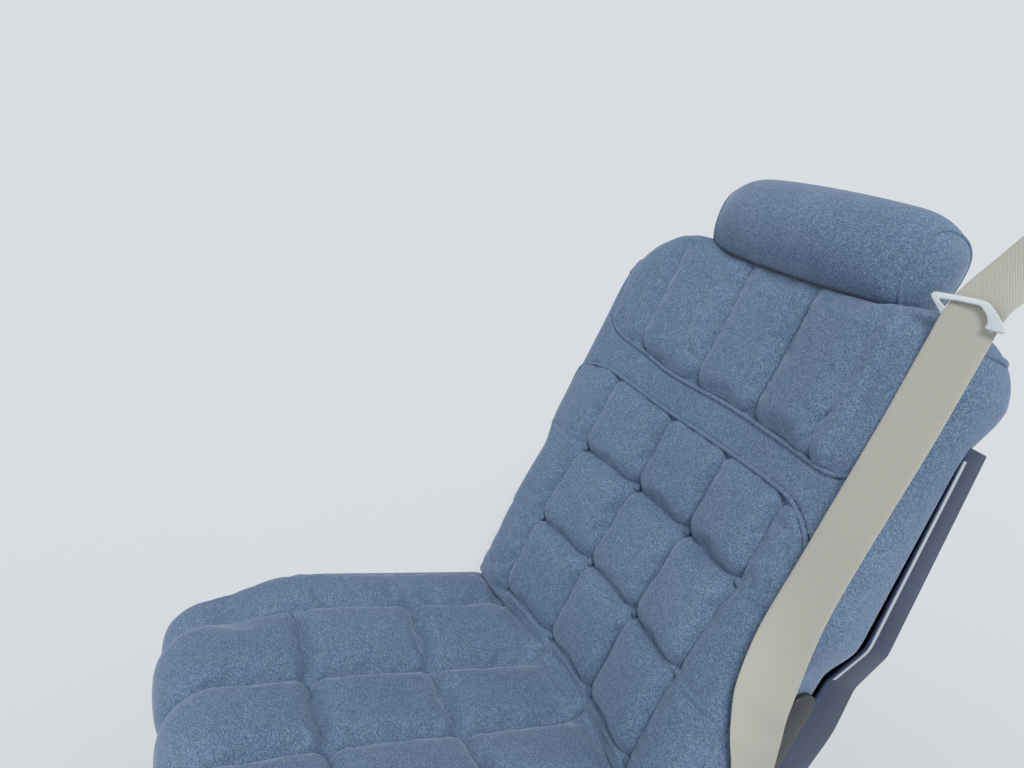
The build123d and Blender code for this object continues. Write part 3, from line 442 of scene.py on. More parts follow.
# %% Outline of the back
BACK_HALF = 250.0
FOOT_HALF = 236.0
FLARE = (70.0, 115.0)
BACK_BOTTOM = -138.0
SADDLE_V = 393.0
SADDLE_SLOPES = ((88.0, 140.0), (112.0, 184.0))
SHOULDER_TOP = 404.0
SHOULDER_RADII = (90.0, 66.0)
TOP_RULES_FROM = 150.0


def by_side(x, pair):
    """The first value inboard and the second outboard."""
    return np.where(x < 0, *pair)


def half_width(v):
    return FOOT_HALF + (BACK_HALF - FOOT_HALF) * smooth((v - FLARE[0]) / (FLARE[1] - FLARE[0]))


def top_of_back(x):
    """Level of the outline above a place across the back."""
    ax = np.abs(x)
    radius = by_side(x, SHOULDER_RADII)
    past_centre = np.maximum(0.0, ax - (BACK_HALF - radius))
    arc = SHOULDER_TOP - radius + np.sqrt(np.maximum(0.0, radius**2 - past_centre**2))
    low, high = (by_side(x, pair) for pair in zip(*SADDLE_SLOPES))
    saddle = SADDLE_V + (SHOULDER_TOP - SADDLE_V) * smooth((ax - low) / (high - low))
    return np.minimum(arc, saddle)


def edge_distances(x, v):
    """How far a point is inside the outline, from the sides and from the top."""
    ax = np.abs(x)
    radius = by_side(x, SHOULDER_RADII)
    centre_x, centre_v = BACK_HALF - radius, SHOULDER_TOP - radius
    on_shoulder = (ax > centre_x) & (v > centre_v)
    to_arc = radius - np.hypot(ax - centre_x, v - centre_v)
    from_side = np.where(on_shoulder, to_arc, half_width(v) - ax)
    on_side = ax > np.maximum(centre_x, TOP_RULES_FROM)
    return from_side, np.where(on_side, radius, top_of_back(x) - v)


print("top of the back:", top_of_back(np.array([-170.0, 0.0, 190.0])).round(1))

# %% Face and rear of the back
DISH = 25.0
CREST_INSET = 34.0
FACE_LEVELS = ((-138, 0, 105, 198, 245, 384, 402), (-3, 0, -8, -8, -8, -5, -5))
FLANK_LEVELS = ((-138, 122, 300, 345, 402), (-24, -24, -16, -16, -18))
REAR_LEVELS = (
    (-138, 122, 239, 285, 300, 312, 322, 334, 350, 402),
    (-57, -57, -42, -36, -37, -42, -48, -55, -60, -58),
)
SIDE_ROUND, SIDE_POWER = 34.0, 2.3
SHOULDER_ROUNDS = (32.0, 22.0)
SHOULDER_FROM, SHOULDER_RUN = 300.0, 60.0
SADDLE_ROUND, SHOULDER_TOP_ROUND = 12.0, 32.0
FOOT_ROUND = 16.0


def face_level(x, v):
    """Depth of the back's face before it rounds off at the outline."""
    crest = half_width(v) - CREST_INSET
    middle = np.interp(v, *FACE_LEVELS)
    return middle + DISH * np.sin(np.pi / 2 * np.minimum(np.abs(x), crest) / crest) ** 2


def flank_level(v):
    """Depth at which the back is widest."""
    return np.interp(v, *FLANK_LEVELS)


def face_depth(x, v):
    """Depth of the finished face."""
    from_side, from_top = edge_distances(x, v)
    flank = flank_level(v)
    shoulder = smooth((v - SHOULDER_FROM) / SHOULDER_RUN)
    side_round = SIDE_ROUND + by_side(x, SHOULDER_ROUNDS) * shoulder
    top_round = SADDLE_ROUND + SHOULDER_TOP_ROUND * smooth((np.abs(x) - 140) / 50)
    side = quarter_round(from_side, side_round, SIDE_POWER - 0.3 * shoulder)
    foot = quarter_round(v - BACK_BOTTOM, FOOT_ROUND)
    rise = side * quarter_round(from_top, top_round) * foot
    return flank + (face_level(x, v) - flank) * rise


def rear_depth(x, v):
    """Depth of the rear, which rounds off tightly so that the flank stays full."""
    from_side, from_top = edge_distances(x, v)
    flank = flank_level(v)
    side = quarter_round(from_side, 16, 3.0)
    rise = side * quarter_round(from_top, 22, 2.6) * quarter_round(v - BACK_BOTTOM, 8)
    return flank + (np.interp(v, *REAR_LEVELS) - flank) * rise


# %% [markdown]
# The outlines of the two sewn inserts are lists of points on the face. They follow the
# piping, which swings out to the crest, and is not quite the same on both sides. The cover
# is sunk a little under each insert, so that the insert's own pillows show.

# %% Outlines of the inserts
LOWER_TOP_LINE = ((-158, -122, -67, -17, 60, 107, 150), (207, 204, 200, 200, 200, 201, 199))
LOWER_EDGES = (
    (
        (-138, 0, 80, 130, 160, 179, 191, 198, 204, 207),
        (222, 228, 236, 241, 241, 238, 230, 216, 190, 172),
    ),
    (
        (-138, 0, 80, 120, 150, 166, 177, 187, 195, 200),
        (220, 226, 228, 222, 213, 206, 199, 184, 170, 158),
    ),
)
UPPER_FOOT_LINE = (
    (-160, -132, -90, -46, 8, 57, 93, 127, 160), (249, 246, 239, 239, 241, 240, 239, 238, 235),
)
UPPER_EDGES = (
    (
        (249, 252, 258, 266, 285, 320, 335, 355, 370, 384),
        (172, 190, 207, 216, 222, 226, 227, 226, 217, 204),
    ),
    ((235, 237, 243, 252, 268, 307, 345, 366, 384), (178, 192, 203, 211, 217, 224, 228, 232, 232)),
)
RECESS = 11.0
RECESS_SLOPE = 9.0


def insert_edge(x, v, edges):
    """Half the width of an insert at a level, on the side where x is."""
    return by_side(x, [np.interp(v, *line) for line in edges])


def under_inserts(x, v):
    """1 well inside an insert, 0 outside, with a short slope along its edge."""
    ax = np.abs(x)
    lower = np.minimum(insert_edge(x, v, LOWER_EDGES) - ax, np.interp(x, *LOWER_TOP_LINE) - v)
    upper = np.minimum(insert_edge(x, v, UPPER_EDGES) - ax, v - np.interp(x, *UPPER_FOOT_LINE))
    upper = np.minimum(upper, top_of_back(x) - v - 6)
    return np.maximum(smooth(lower / RECESS_SLOPE), smooth(upper / RECESS_SLOPE))


# %% Cover of the back
COVER_COLUMNS, COVER_ROWS = 150, 170


def cover_place(across, along, depth):
    """The sines crowd the grid lines towards the outline, where the cover turns over."""
    x = BACK_HALF * np.sin(np.pi / 2 * (2 * across - 1))
    high = top_of_back(x)
    v = BACK_BOTTOM + (high - BACK_BOTTOM) * (1 + np.sin(np.pi / 2 * (2 * along - 1))) / 2
    x = x * half_width(v) / BACK_HALF
    return on_back(x, v, depth(x, v))


back_cover = closed_form(
    "back_cover", COVER_COLUMNS, COVER_ROWS,
    lambda a, b: cover_place(a, b, lambda x, v: face_depth(x, v) - RECESS * under_inserts(x, v)),
    lambda a, b: cover_place(a, b, rear_depth),
)
finish_piece(back_cover, "backrest", "velour_plain", ["back_pad"])

# %% [markdown]
# ## Inflating a sewn sheet
#
# Between its seams the velour is pushed out by soft wadding, and the spare cloth puckers
# along the stitches. That is what a cloth simulation does well: the seams are pinned,
# gravity is off, and pressure swells the rest. The sheet starts from a puffed seed shape,
# and a cap on the movement keeps the pillows the size that the photograph shows.

# %% Cloth helper
CLOTH_FRAMES = 20
CLOTH_STIFFNESS = 18.0
CLOTH_BENDING = 1.5
ON_LINE = 0.05


def on_seams(piece, columns, rows):
    """True at points on a seam or on the edge of the face, and everywhere on the rear."""
    across = take_number(piece, "across") * sum(columns)
    along = take_number(piece, "along") * sum(rows)
    pinned = take_number(piece, "side") < 0.5
    column_stops, row_stops = np.cumsum([0, *columns]), np.cumsum([0, *rows])
    middle = (across > column_stops[1] - ON_LINE) & (across < column_stops[-2] + ON_LINE)
    for stop in column_stops:
        pinned |= np.abs(across - stop) < ON_LINE
    for stop in row_stops:
        whole = stop in (row_stops[0], row_stops[-1])
        pinned |= (np.abs(along - stop) < ON_LINE) & (middle | whole)
    return pinned


def inflate(piece, pinned, pressure, spare, cap):
    """Swells a piece between pinned points. Spare is the share by which cloth is too long."""
    start = read_points(piece)
    group = piece.vertex_groups.new(name="sewn")
    group.add([int(i) for i in np.flatnonzero(pinned)], 1.0, "REPLACE")
    cloth = piece.modifiers.new("Cloth", "CLOTH")
    settings = cloth.settings
    settings.vertex_group_mass = "sewn"
    settings.use_pressure = True
    settings.uniform_pressure_force = pressure
    settings.effector_weights.gravity = 0
    settings.shrink_min = -spare
    settings.tension_stiffness = settings.compression_stiffness = CLOTH_STIFFNESS
    settings.bending_stiffness = CLOTH_BENDING
    settings.quality = 5
    settings.mass = 0.25
    settings.air_damping = 3
    cloth.collision_settings.use_collision = False
    scene = bpy.context.scene
    for step in range(1, CLOTH_FRAMES + 1):
        scene.frame_set(step)
    select_only(piece)
    bpy.ops.object.modifier_apply(modifier="Cloth")
    scene.frame_set(1)
    moved = read_points(piece) - start
    length = np.linalg.norm(moved, axis=1, keepdims=True)
    write_points(piece, start + moved * np.minimum(1.0, cap * MM / np.maximum(length, 1e-9)))
    piece.vertex_groups.remove(piece.vertex_groups["sewn"])
    print(piece.name, "swelled by up to", round(float(length.max()) * 1000, 1), "mm")


# %% [markdown]
# ## Pillows and seams
#
# The same tufting is used on the back and on the cushion: seams at even places across, and
# a small tuft where they cross. A pillow rises on a quarter circle from its seams and is
# nearly flat on top. Its corners are cut off by the tufts, which leaves a small diamond
# pit at each crossing.

# %% Pillow helpers
LAST_SEAM = 150.0
PILLOW_WIDTH = 100.0
SEAM_XS = (-LAST_SEAM, -50.0, 50.0, LAST_SEAM)
COLUMN_STOPS = (-250.0, *SEAM_XS, 250.0)
PILLOW_ROUND = 27.0
TUFT_CORNER = 17.0
TUFT_DIP = 5.0
TUFTS_TO = 162.0
SEAM_DIP = 4.0
HEM_DIP = 2.0
BACKING = 9.0
NEAR_BORDER = 1e-4


def cell_share(value, stops):
    """Place within its cell, 0 to 1, and the cell's number."""
    cell = np.clip(np.searchsorted(stops, value, side="right") - 1, 0, len(stops) - 2)
    stops = np.asarray(stops, float)
    return (value - stops[cell]) / (stops[cell + 1] - stops[cell]), cell


def pillow(from_seam, from_row, corner=TUFT_CORNER, rounding=PILLOW_ROUND):
    """Height of a pillow, 0 to 1, from the distances to its seams, with its corners cut."""
    straight = np.minimum(from_seam, from_row)
    near_corner = (from_seam < corner) & (from_row < corner)
    cut = corner - np.hypot(corner - from_seam, corner - from_row)
    return quarter_round(np.where(near_corner, cut, straight), rounding)


def tuft_pull(x, run, tuft_runs, reach):
    """How strongly the tufts pull the surface in, 1 at a tuft."""
    pull = np.zeros_like(x)
    for tuft_x in SEAM_XS:
        for tuft_run in tuft_runs:
            away = ((x - tuft_x) / reach) ** 2 + ((run - tuft_run) / reach) ** 2
            pull = np.maximum(pull, np.exp(-away))
    return pull * (np.abs(x) < TUFTS_TO)


def spread(nominal, reach):
    """Stretches the columns past the last seam, so that they reach the insert's edge."""
    outer = LAST_SEAM + (np.abs(nominal) - LAST_SEAM) / PILLOW_WIDTH * (reach - LAST_SEAM)
    return np.where(np.abs(nominal) > LAST_SEAM, np.sign(nominal) * outer, nominal)


def on_border(across, along, with_top=True):
    border = (across < NEAR_BORDER) | (across > 1 - NEAR_BORDER) | (along < NEAR_BORDER)
    return border | (along > 1 - NEAR_BORDER) if with_top else border


# %% [markdown]
# ## The tufted lower insert
#
# Three columns of square pillows stand in the middle, and a long smooth bolster lies on
# each side of them. Below the lowest tufts the insert is tucked flat, because it runs down
# behind the cushion.

# %% Lower insert
TUFT_LEVELS = (-105.0, 0.0, 105.0)
LOWER_COUNTS = (22, 28, 28, 28, 22)
LOWER_ROWS = (8, 29, 29, 28)
PILLOW_RISE = 14.5
PILLOW_CROWN = 3.0
BOLSTER_RISE = 7.0
TUCKED_SHARE = 0.15
TUCK_RUN = 12.0


def lower_layout(across, along):
    """Places on the face, and the shares within each pillow."""
    nominal = between(across, COLUMN_STOPS, LOWER_COUNTS)
    top_line = np.interp(nominal, *LOWER_TOP_LINE)
    row = between(along, (0, 1, 2, 3, 4), LOWER_ROWS)
    levels = (BACK_BOTTOM + 4, *TUFT_LEVELS)
    stops = np.stack([np.full_like(row, level) for level in levels] + [top_line])
    low = np.clip(row.astype(int), 0, 3)
    share_v = row - low
    index = np.arange(len(row))
    v = stops[low, index] * (1 - share_v) + stops[low + 1, index] * share_v
    reach = insert_edge(nominal, v, LOWER_EDGES)
    share_x, _ = cell_share(nominal, COLUMN_STOPS)
    from_row = np.minimum(share_v, 1 - share_v) * (stops[low + 1, index] - stops[low, index])
    return spread(nominal, reach), v, share_x, share_v, from_row, reach


def lower_face(across, along):
    x, v, share_x, share_v, from_row, reach = lower_layout(across, along)
    ax = np.abs(x)
    middle = ax < LAST_SEAM
    puff = PILLOW_RISE * pillow(np.minimum(share_x, 1 - share_x) * PILLOW_WIDTH, from_row)
    puff += PILLOW_CROWN * np.sin(np.pi * share_x) * np.sin(np.pi * share_v) * middle
    from_edge = np.minimum(reach - ax, np.interp(x, *LOWER_TOP_LINE) - v)
    long_rise = BOLSTER_RISE + 3 * smooth((200 - ax) / 40)
    long_puff = long_rise * pillow(ax - LAST_SEAM, from_edge, 20, 24)
    seam = face_depth(x, v) - SEAM_DIP - TUFT_DIP * tuft_pull(x, v, TUFT_LEVELS, 13)
    seam = np.where(on_border(across, along), face_depth(x, v) - HEM_DIP, seam)
    open_share = smooth((v - TUFT_LEVELS[0] + TUCK_RUN) / TUCK_RUN)
    tucked = TUCKED_SHARE + (1 - TUCKED_SHARE) * open_share
    return on_back(x, v, seam + np.where(middle, puff, long_puff) * tucked)


def lower_rear(across, along):
    x, v, *_ = lower_layout(across, along)
    depth = np.where(on_border(across, along), HEM_DIP, BACKING)
    return on_back(x, v, face_depth(x, v) - depth)


def sewn_insert(name, columns, rows, face, rear, pressure, spare, cap):
    """A closed form, swelled between its seams and subdivided once."""
    made = closed_form(name, sum(columns), sum(rows), face, rear)
    inflate(made, on_seams(made, columns, rows), pressure, spare, cap)
    subdivide(made)
    return made


back_quilt = sewn_insert(
    "back_quilt_lower", LOWER_COUNTS, LOWER_ROWS, lower_face, lower_rear,
    pressure=1.6, spare=0.02, cap=4,
)
finish_piece(back_quilt, "backrest", "velour_sewn", ["back_insert_lower"])

# %% [markdown]
# ## The pleated upper insert
#
# Above a plain band the face is sewn into five tall pleats. They are round at the foot,
# and end under the head restraint. The seam nearest the belt has been sat against for
# years: it has gone slack, and shows only as a shallow dip with two pull creases at its
# foot.

# %% Upper insert
UPPER_COUNTS = (24, 28, 28, 28, 24)
UPPER_ROWS = (52,)
PLEAT_RISE = 14.5
PLEAT_ROUND = 30.0
PLEAT_CORNER = 26.0
TOP_REACH = (204.0, 230.0)
SLACK_LIFT = 9.0
CREASES = (((136, 244), (150, 266)), ((138, 258), (156, 290)))
CREASE = 6.0
CREASE_WIDTH = 2.4


def upper_layout(across, along):
    nominal = between(across, COLUMN_STOPS, UPPER_COUNTS)
    foot = np.interp(nominal, *UPPER_FOOT_LINE)
    high = top_of_back(spread(nominal, by_side(nominal, TOP_REACH))) - 3
    v = foot + (high - foot) * along
    reach = insert_edge(nominal, v, UPPER_EDGES)
    share_x, _ = cell_share(nominal, COLUMN_STOPS)
    return spread(nominal, reach), v, share_x, v - foot, reach


def crease_depth(x, v):
    """Narrow furrows from point to point, fading at their ends."""
    depth = np.zeros_like(x)
    for (x0, v0), (x1, v1) in CREASES:
        run = np.array([x1 - x0, v1 - v0], float)
        t = ((x - x0) * run[0] + (v - v0) * run[1]) / (run @ run)
        off = np.abs((x - x0) * run[1] - (v - v0) * run[0]) / np.sqrt(run @ run)
        furrow = np.exp(-((off / CREASE_WIDTH) ** 2)) * np.sin(np.pi * np.clip(t, 0, 1))
        depth = np.maximum(depth, furrow)
    return depth


def upper_depth(across, along):
    x, v, share_x, from_foot, reach = upper_layout(across, along)
    ax = np.abs(x)
    middle = ax < LAST_SEAM
    seam_at = np.minimum(share_x, 1 - share_x) * PILLOW_WIDTH
    slack = smooth((38 - np.abs(x - LAST_SEAM)) / 30)
    from_seam = np.where(middle, seam_at, ax - LAST_SEAM) + SLACK_LIFT * slack
    puff = PLEAT_RISE * pillow(from_seam, from_foot, PLEAT_CORNER, PLEAT_ROUND)
    from_edge = np.minimum(from_foot, reach - ax)
    long_puff = (BOLSTER_RISE + 2) * pillow(from_seam, from_edge, 20, 26)
    fade = 1 - 0.65 * smooth((v - 365) / 28)
    hem = on_border(across, along, with_top=False)
    seam = face_depth(x, v) - np.where(hem, HEM_DIP, SEAM_DIP * (1 - 0.6 * slack) * fade)
    puff = np.where(middle | (slack > 0.5), puff, long_puff)
    return x, v, seam + puff * fade - CREASE * crease_depth(x, v)


def upper_face(across, along):
    return on_back(*upper_depth(across, along))


def upper_rear(across, along):
    x, v, front = upper_depth(across, along)
    behind = face_depth(x, v) - BACKING * 0.8
    return on_back(x, v, np.where(on_border(across, along), front, behind))


back_pleats = sewn_insert(
    "back_pleats_upper", UPPER_COUNTS, UPPER_ROWS, upper_face, upper_rear,
    pressure=1.6, spare=0.015, cap=4,
)
finish_piece(back_pleats, "backrest", "velour_sewn", ["back_insert_upper"])

# %% [markdown]
# ## Piping
#
# The inserts are edged with piping: a thin cord wrapped in the cover's velour and sewn
# into the seam. A curve with a round bevel is the natural tool. Its points lie on the
# back's face along the outline, and the finished tube is turned into a mesh. Past the
# upper insert a thicker roll goes on over each shoulder and sinks into the rear.

# %% Line helpers
def resampled(points, count=None, step=None):
    """Even lengths along a line, as a count of points or by a step, and the points there."""
    points = np.asarray(points, float)
    lengths = np.r_[0, np.cumsum(np.linalg.norm(np.diff(points, axis=0), axis=1))]
    even = np.linspace(0, lengths[-1], count or max(8, int(lengths[-1] / step)))
    return even, np.stack([np.interp(even, lengths, column) for column in points.T], axis=1)


def spaced(points, step):
    """The same line with points an even step apart, smoothed a little."""
    _, line = resampled(points, step=step)
    for _ in range(6):
        line[1:-1] = (line[:-2] + 2 * line[1:-1] + line[2:]) / 4
    return line


def cut_corners(points, share, rounds, closed=True):
    """Rounds a line or a loop by cutting its corners, a share of each run at a time."""
    line = np.asarray(points, float)
    for _ in range(rounds):
        ahead = np.roll(line, -1, axis=0)
        pairs = [(1 - share) * line + share * ahead, share * line + (1 - share) * ahead]
        cut = np.stack(pairs, 1).reshape(-1, 2)
        line = cut if closed else np.vstack([line[:1], cut[:-2], line[-1:]])
    return line


def tube(name, points, radius, closed=False, sides=3, plate=None):
    """A round cord through points, or a plate of a thickness that they outline, as a mesh."""
    curve = bpy.data.curves.new(name, "CURVE")
    curve.dimensions = "2D" if plate else "3D"
    if plate:
        curve.fill_mode = "BOTH"
        curve.extrude = (plate / 2 - radius) * MM
        curve.offset = -radius * MM
    spline = curve.splines.new("POLY")
    spline.points.add(len(points) - 1)
    spline.points.foreach_set("co", np.hstack([points, np.ones((len(points), 1))]).ravel())
    spline.use_cyclic_u = closed
    curve.bevel_depth = radius * MM
    curve.bevel_resolution = sides
    curve.use_fill_caps = not closed
    put_in_scene(name, curve)
    bpy.ops.object.convert(target="MESH")
    return bpy.context.object


# %% Piping on the back
PIPING_RADIUS = 2.3
SHOULDER_ROLL = 3.4
PIPING_STEP = 5
PIPING_LIFT = 0.9
ROLL_FROM, ROLL_OUT, ROLL_SINK = (336, 368), 1.4, 6
TURN_LEVELS = {-1: (344, 349, 353, 356, 357, 354), 1: (378, 380.5, 382.5, 384, 384, 380)}
TURN_DEPTHS = (7, -4, -16, -30, -44, -56)


def insert_lines(foot_or_top, edges, start, ends):
    """The parts of a flat outline in x and v: up one side, across, and up the other."""
    inner, outer = (
        [(sign * x, v) for v, x in zip(*edge) if start <= v <= end]
        for sign, edge, end in zip((-1, 1), edges, ends)
    )
    return inner, [(x, v) for x, v in zip(*foot_or_top) if abs(x) < LAST_SEAM], outer


def side_place(v, w, side):
    """How far across the surface is at a level and a depth, on the face or on the rear."""
    tries = side * np.linspace(LAST_SEAM, BACK_HALF, 400)
    places = []
    for level, depth in zip(v, w):
        surface = face_depth if depth > flank_level(level) else rear_depth
        levels = np.full_like(tries, level)
        depths = surface(tries, levels)
        inside = edge_distances(tries, levels)[0] > 0
        order = np.argsort(depths[inside])
        places.append(np.interp(depth, depths[inside][order], tries[inside][order]))
    return np.array(places)


def on_face(outline):
    x, v = outline.T
    return np.stack([x, v, face_depth(x, v)], axis=1)


inner, middle, outer = insert_lines(LOWER_TOP_LINE, LOWER_EDGES, -130, (400, 400))
lower_cord = on_face(spaced([*inner, *middle, *reversed(outer)], PIPING_STEP))
inner, middle, outer = insert_lines(UPPER_FOOT_LINE, UPPER_EDGES, 0, (335, 371))
upper_cord = on_face(spaced([*reversed(inner), *middle, *outer], PIPING_STEP))
turns = {
    side: np.stack([side_place(levels, TURN_DEPTHS, side), levels, TURN_DEPTHS], axis=1)
    for side, levels in TURN_LEVELS.items()
}
for name, line, radius in (
    ("piping_lower", lower_cord, PIPING_RADIUS),
    ("piping_upper", upper_cord, PIPING_RADIUS),
    ("shoulder_roll_inboard", np.vstack([upper_cord[:3][::-1], turns[-1]]), SHOULDER_ROLL),
    ("shoulder_roll_outboard", np.vstack([upper_cord[-3:], turns[1]]), SHOULDER_ROLL),
):
    x, v, w = spaced(line, PIPING_STEP).T
    outwards = np.sign(x) * smooth((v - by_side(x, ROLL_FROM)) / 8)
    sunk = np.sign(x) * ROLL_SINK * smooth((-38 - w) / 16)
    cord = tube(name, on_back(x + ROLL_OUT * outwards - sunk, v, w + PIPING_LIFT), radius)
    finish_piece(cord, "backrest", "velour_plain")
print("the roll turns over the shoulder at x", turns[1][:, 0].round(1))

# %% [markdown]
# ## Buttons
#
# Each crossing of the seams is held down by a small button covered in the same velour. One
# is shaped from a sphere, flattened on top and tucked in below, and made at each crossing.

# %% Buttons
BUTTON_RADIUS = 4.4
BUTTON_LIFT = 4.2
BUTTON_TOP, BUTTON_UNDER = 0.55, 0.9


def button_at(x, v):
    w = float(face_depth(np.array([x]), np.array([v]))[0]) - SEAM_DIP - TUFT_DIP + BUTTON_LIFT
    bpy.ops.object.select_all(action="DESELECT")
    bpy.ops.mesh.primitive_uv_sphere_add(segments=24, ring_count=12, radius=BUTTON_RADIUS * MM)
    made = bpy.context.object
    made.name = "back_buttons"
    points = read_points(made)
    points[:, 2] *= np.where(points[:, 2] > 0, BUTTON_TOP, BUTTON_UNDER)
    turn = np.stack([np.array([1.0, 0, 0]), UP_BACK, OUT_BACK])
    write_points(made, points @ turn + on_back(x, v, w)[0])
    return made


buttons = [button_at(x, v) for x in SEAM_XS for v in TUFT_LEVELS]
select_only(*buttons)
bpy.ops.object.join()
finish_piece(buttons[0], "backrest", "velour_sewn")

# %% [markdown]
# ## The head restraint
#
# A fat velour roll on two posts. Its section is a D: a full front that leans back into a
# round top. Seen from above the front sweeps back towards both ends, and each end closes
# in a dome. It is one sheet rolled into loops of points, one loop for each place across,
# which shrink to a point at the ends. The end panels are sewn in with piping, which
# follows one of the loops.

# %% Head restraint
REST_HALF = 148.0
REST_MIDDLE = 5.0
REST_SECTION = (
    (390, -14), (394, 8), (407, 24), (425, 35), (443, 38), (459, 33), (471, 22), (480, 5),
    (486, -13), (489, -32), (486, -50), (473, -63), (448, -67), (420, -64), (398, -54),
    (389, -36),
)
REST_CENTRE = (440.0, -14.0)
REST_CROWN = 6.0
REST_SWEEP = (45.0, 2.0)
REST_REAR_SWEEP = (122.0, 2.2)
REST_TOP_END = (93.0, 2.3)
REST_LOW_END = (124.0, 2.2)
REST_SEAM_X = 134.0
REST_PIPING = 1.8
REST_COLUMNS, REST_LOOP = 84, 96

rest_ring = cut_corners(REST_SECTION, 0.25, 3)
_, rest_loop = resampled(np.vstack([rest_ring, rest_ring[:1]]), REST_LOOP + 1)
loop_places = np.linspace(0, 1, REST_LOOP + 1)


def closing(ax, sweep):
    """1 in the middle, and 0 at the ends from a given place, on a superellipse."""
    start, power = sweep
    q = np.clip((ax - start) / (REST_HALF - start), 0.0, 1.0)
    return np.maximum(0.0, 1 - q**power) ** (1 / power)


def rest_surface(x, along):
    """Points of the cover at a place across and a place round the loop."""
    ax = np.abs(x)
    v, w = (
        np.interp(along, loop_places, rest_loop[:, i]) - REST_CENTRE[i] for i in range(2)
    )
    w = w * np.where(w > 0, closing(ax, REST_SWEEP), closing(ax, REST_REAR_SWEEP))
    crown = REST_CROWN * (1 - (ax / REST_HALF) ** 2) * smooth(v / 40)
    v = (v + crown) * np.where(v > 0, closing(ax, REST_TOP_END), closing(ax, REST_LOW_END))
    return on_back(REST_MIDDLE + x, REST_CENTRE[0] + v, REST_CENTRE[1] + w)


rest_cover = sheet(
    "rest_cover", REST_COLUMNS, REST_LOOP,
    lambda a, b: rest_surface(REST_HALF * np.sin(np.pi / 2 * (2 * a - 1)), b),
)
weld(rest_cover)
subdivide(rest_cover)
finish_piece(rest_cover, "head_rest", "velour_sewn", ["head_rest_pad"], "velour_plain")

for side, sign in (("inboard", -1), ("outboard", 1)):
    seam = rest_surface(np.full(REST_LOOP, sign * REST_SEAM_X), np.arange(REST_LOOP) / REST_LOOP)
    cord = tube(f"rest_piping_{side}", seam, REST_PIPING, closed=True)
    finish_piece(cord, "head_rest", "velour_sewn", finish="velour_plain")

# %% [markdown]
# ## The cushion
#
# The cushion is a foam block with the same tufting. Its top falls towards the back, its
# sides are raised in soft bolsters, and its nose is round and high. The cover is a closed
# form like the back's, which narrows towards the nose and has round front corners. When
# the back folds down, its foot presses on the cushion's rear, but the foam here keeps its shape.

# %% Shape of the cushion
CUSHION_TILT = math.radians(15.7)
CUSHION_HALF = 250.0
CUSHION_REAR = 141.0
CUSHION_FRONT = -278.0
CUSHION_BASE = ((-262, 88), (190, 156))
CUSHION_CORNER = 72.0
CUSHION_COLUMNS, CUSHION_COVER_ROWS = 120, 100
FRONT_SEAM_Y, FRONT_SEAM_Z = -146, 297
BOLSTER_HEIGHT, BOLSTER_X = 23.0, 205
TAPER = 24.0
NOSE_ROUND = 46.0
WIDEST_SHARE = 0.42


def in_metres(x, y, z):
    return MM * np.stack([np.asarray(a, float) for a in (x, y, z)], axis=1)


def bolster_rise(x, y):
    """How far the bolsters stand above the middle. They run out towards the nose."""
    across = np.sin(np.pi / 2 * np.minimum(np.abs(x), BOLSTER_X) / BOLSTER_X) ** 2
    return BOLSTER_HEIGHT * across * (1 - 0.95 * smooth((-125 - y) / 100))


def cushion_top(x, y):
    return FRONT_SEAM_Z - (y - FRONT_SEAM_Y) * math.tan(CUSHION_TILT) + bolster_rise(x, y)


def cushion_side(y):
    """Half the width, less towards the nose."""
    return CUSHION_HALF - TAPER * smooth((-90 - y) / 150)


def cushion_height(x, y, over):
    """Height of the upper or the lower sheet, which meet at the widest level."""
    side, front, rear = cushion_side(y) - np.abs(x), y - CUSHION_FRONT, CUSHION_REAR - y
    base = np.interp(y, *CUSHION_BASE)
    widest = base + WIDEST_SHARE * (cushion_top(x, y) - base)
    if over:
        rise = quarter_round(side, 40, 2.2) * quarter_round(front, NOSE_ROUND)
        return widest + (cushion_top(x, y) - widest) * (rise * quarter_round(rear, 34))
    rise = quarter_round(side, 14) * quarter_round(front, 20) * quarter_round(rear, 10)
    return widest + (base - widest) * rise


def cushion_place(across, along, over):
    u = np.sin(np.pi / 2 * (2 * across - 1))
    run = (1 + np.sin(np.pi / 2 * (2 * along - 1))) / 2
    y = CUSHION_FRONT + (CUSHION_REAR - CUSHION_FRONT) * run
    past = np.maximum(0.0, CUSHION_FRONT + CUSHION_CORNER - y)
    corner = CUSHION_CORNER - np.sqrt(np.maximum(0.0, CUSHION_CORNER**2 - past**2))
    x = u * (cushion_side(y) - corner)
    z = cushion_height(u * cushion_side(y), y, over)
    if over:
        z = z - RECESS * smooth((212 - np.abs(x)) / 12) * smooth((y - CUSHION_FRONT) / 20)
    return in_metres(x, y, z)


def press_under_back(piece):
    """Gives the piece a mesh of its own."""
    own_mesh(piece)


cushion_cover = closed_form(
    "cushion_cover", CUSHION_COLUMNS, CUSHION_COVER_ROWS,
    lambda a, b: cushion_place(a, b, True),
    lambda a, b: cushion_place(a, b, False),
)
finish_piece(cushion_cover, "seat_base", "velour_plain", ["cushion_pad"])
press_under_back(cushion_cover)

# %% [markdown]
# The insert of the cushion follows a path that starts at the rear, runs forward over the
# top, turns over the nose and goes down the front. Each pillow rises at right angles to
# that path, and the bolsters beside the pillows are smooth from the rear to the nose.

# %% Path of the cushion insert
NOSE_PATH = (
    (137, 253), (134, 240), (126, 231), (110, 227), (90, 230), (-146, 297), (-224, 319),
    (-254, 322), (-276, 306), (-284, 276), (-279, 240), (-270, 214),
)
NOSE_POINTS = 400
TOP_POINTS = 260
CUSHION_SEAM_YS = (-13.0, -146.0)

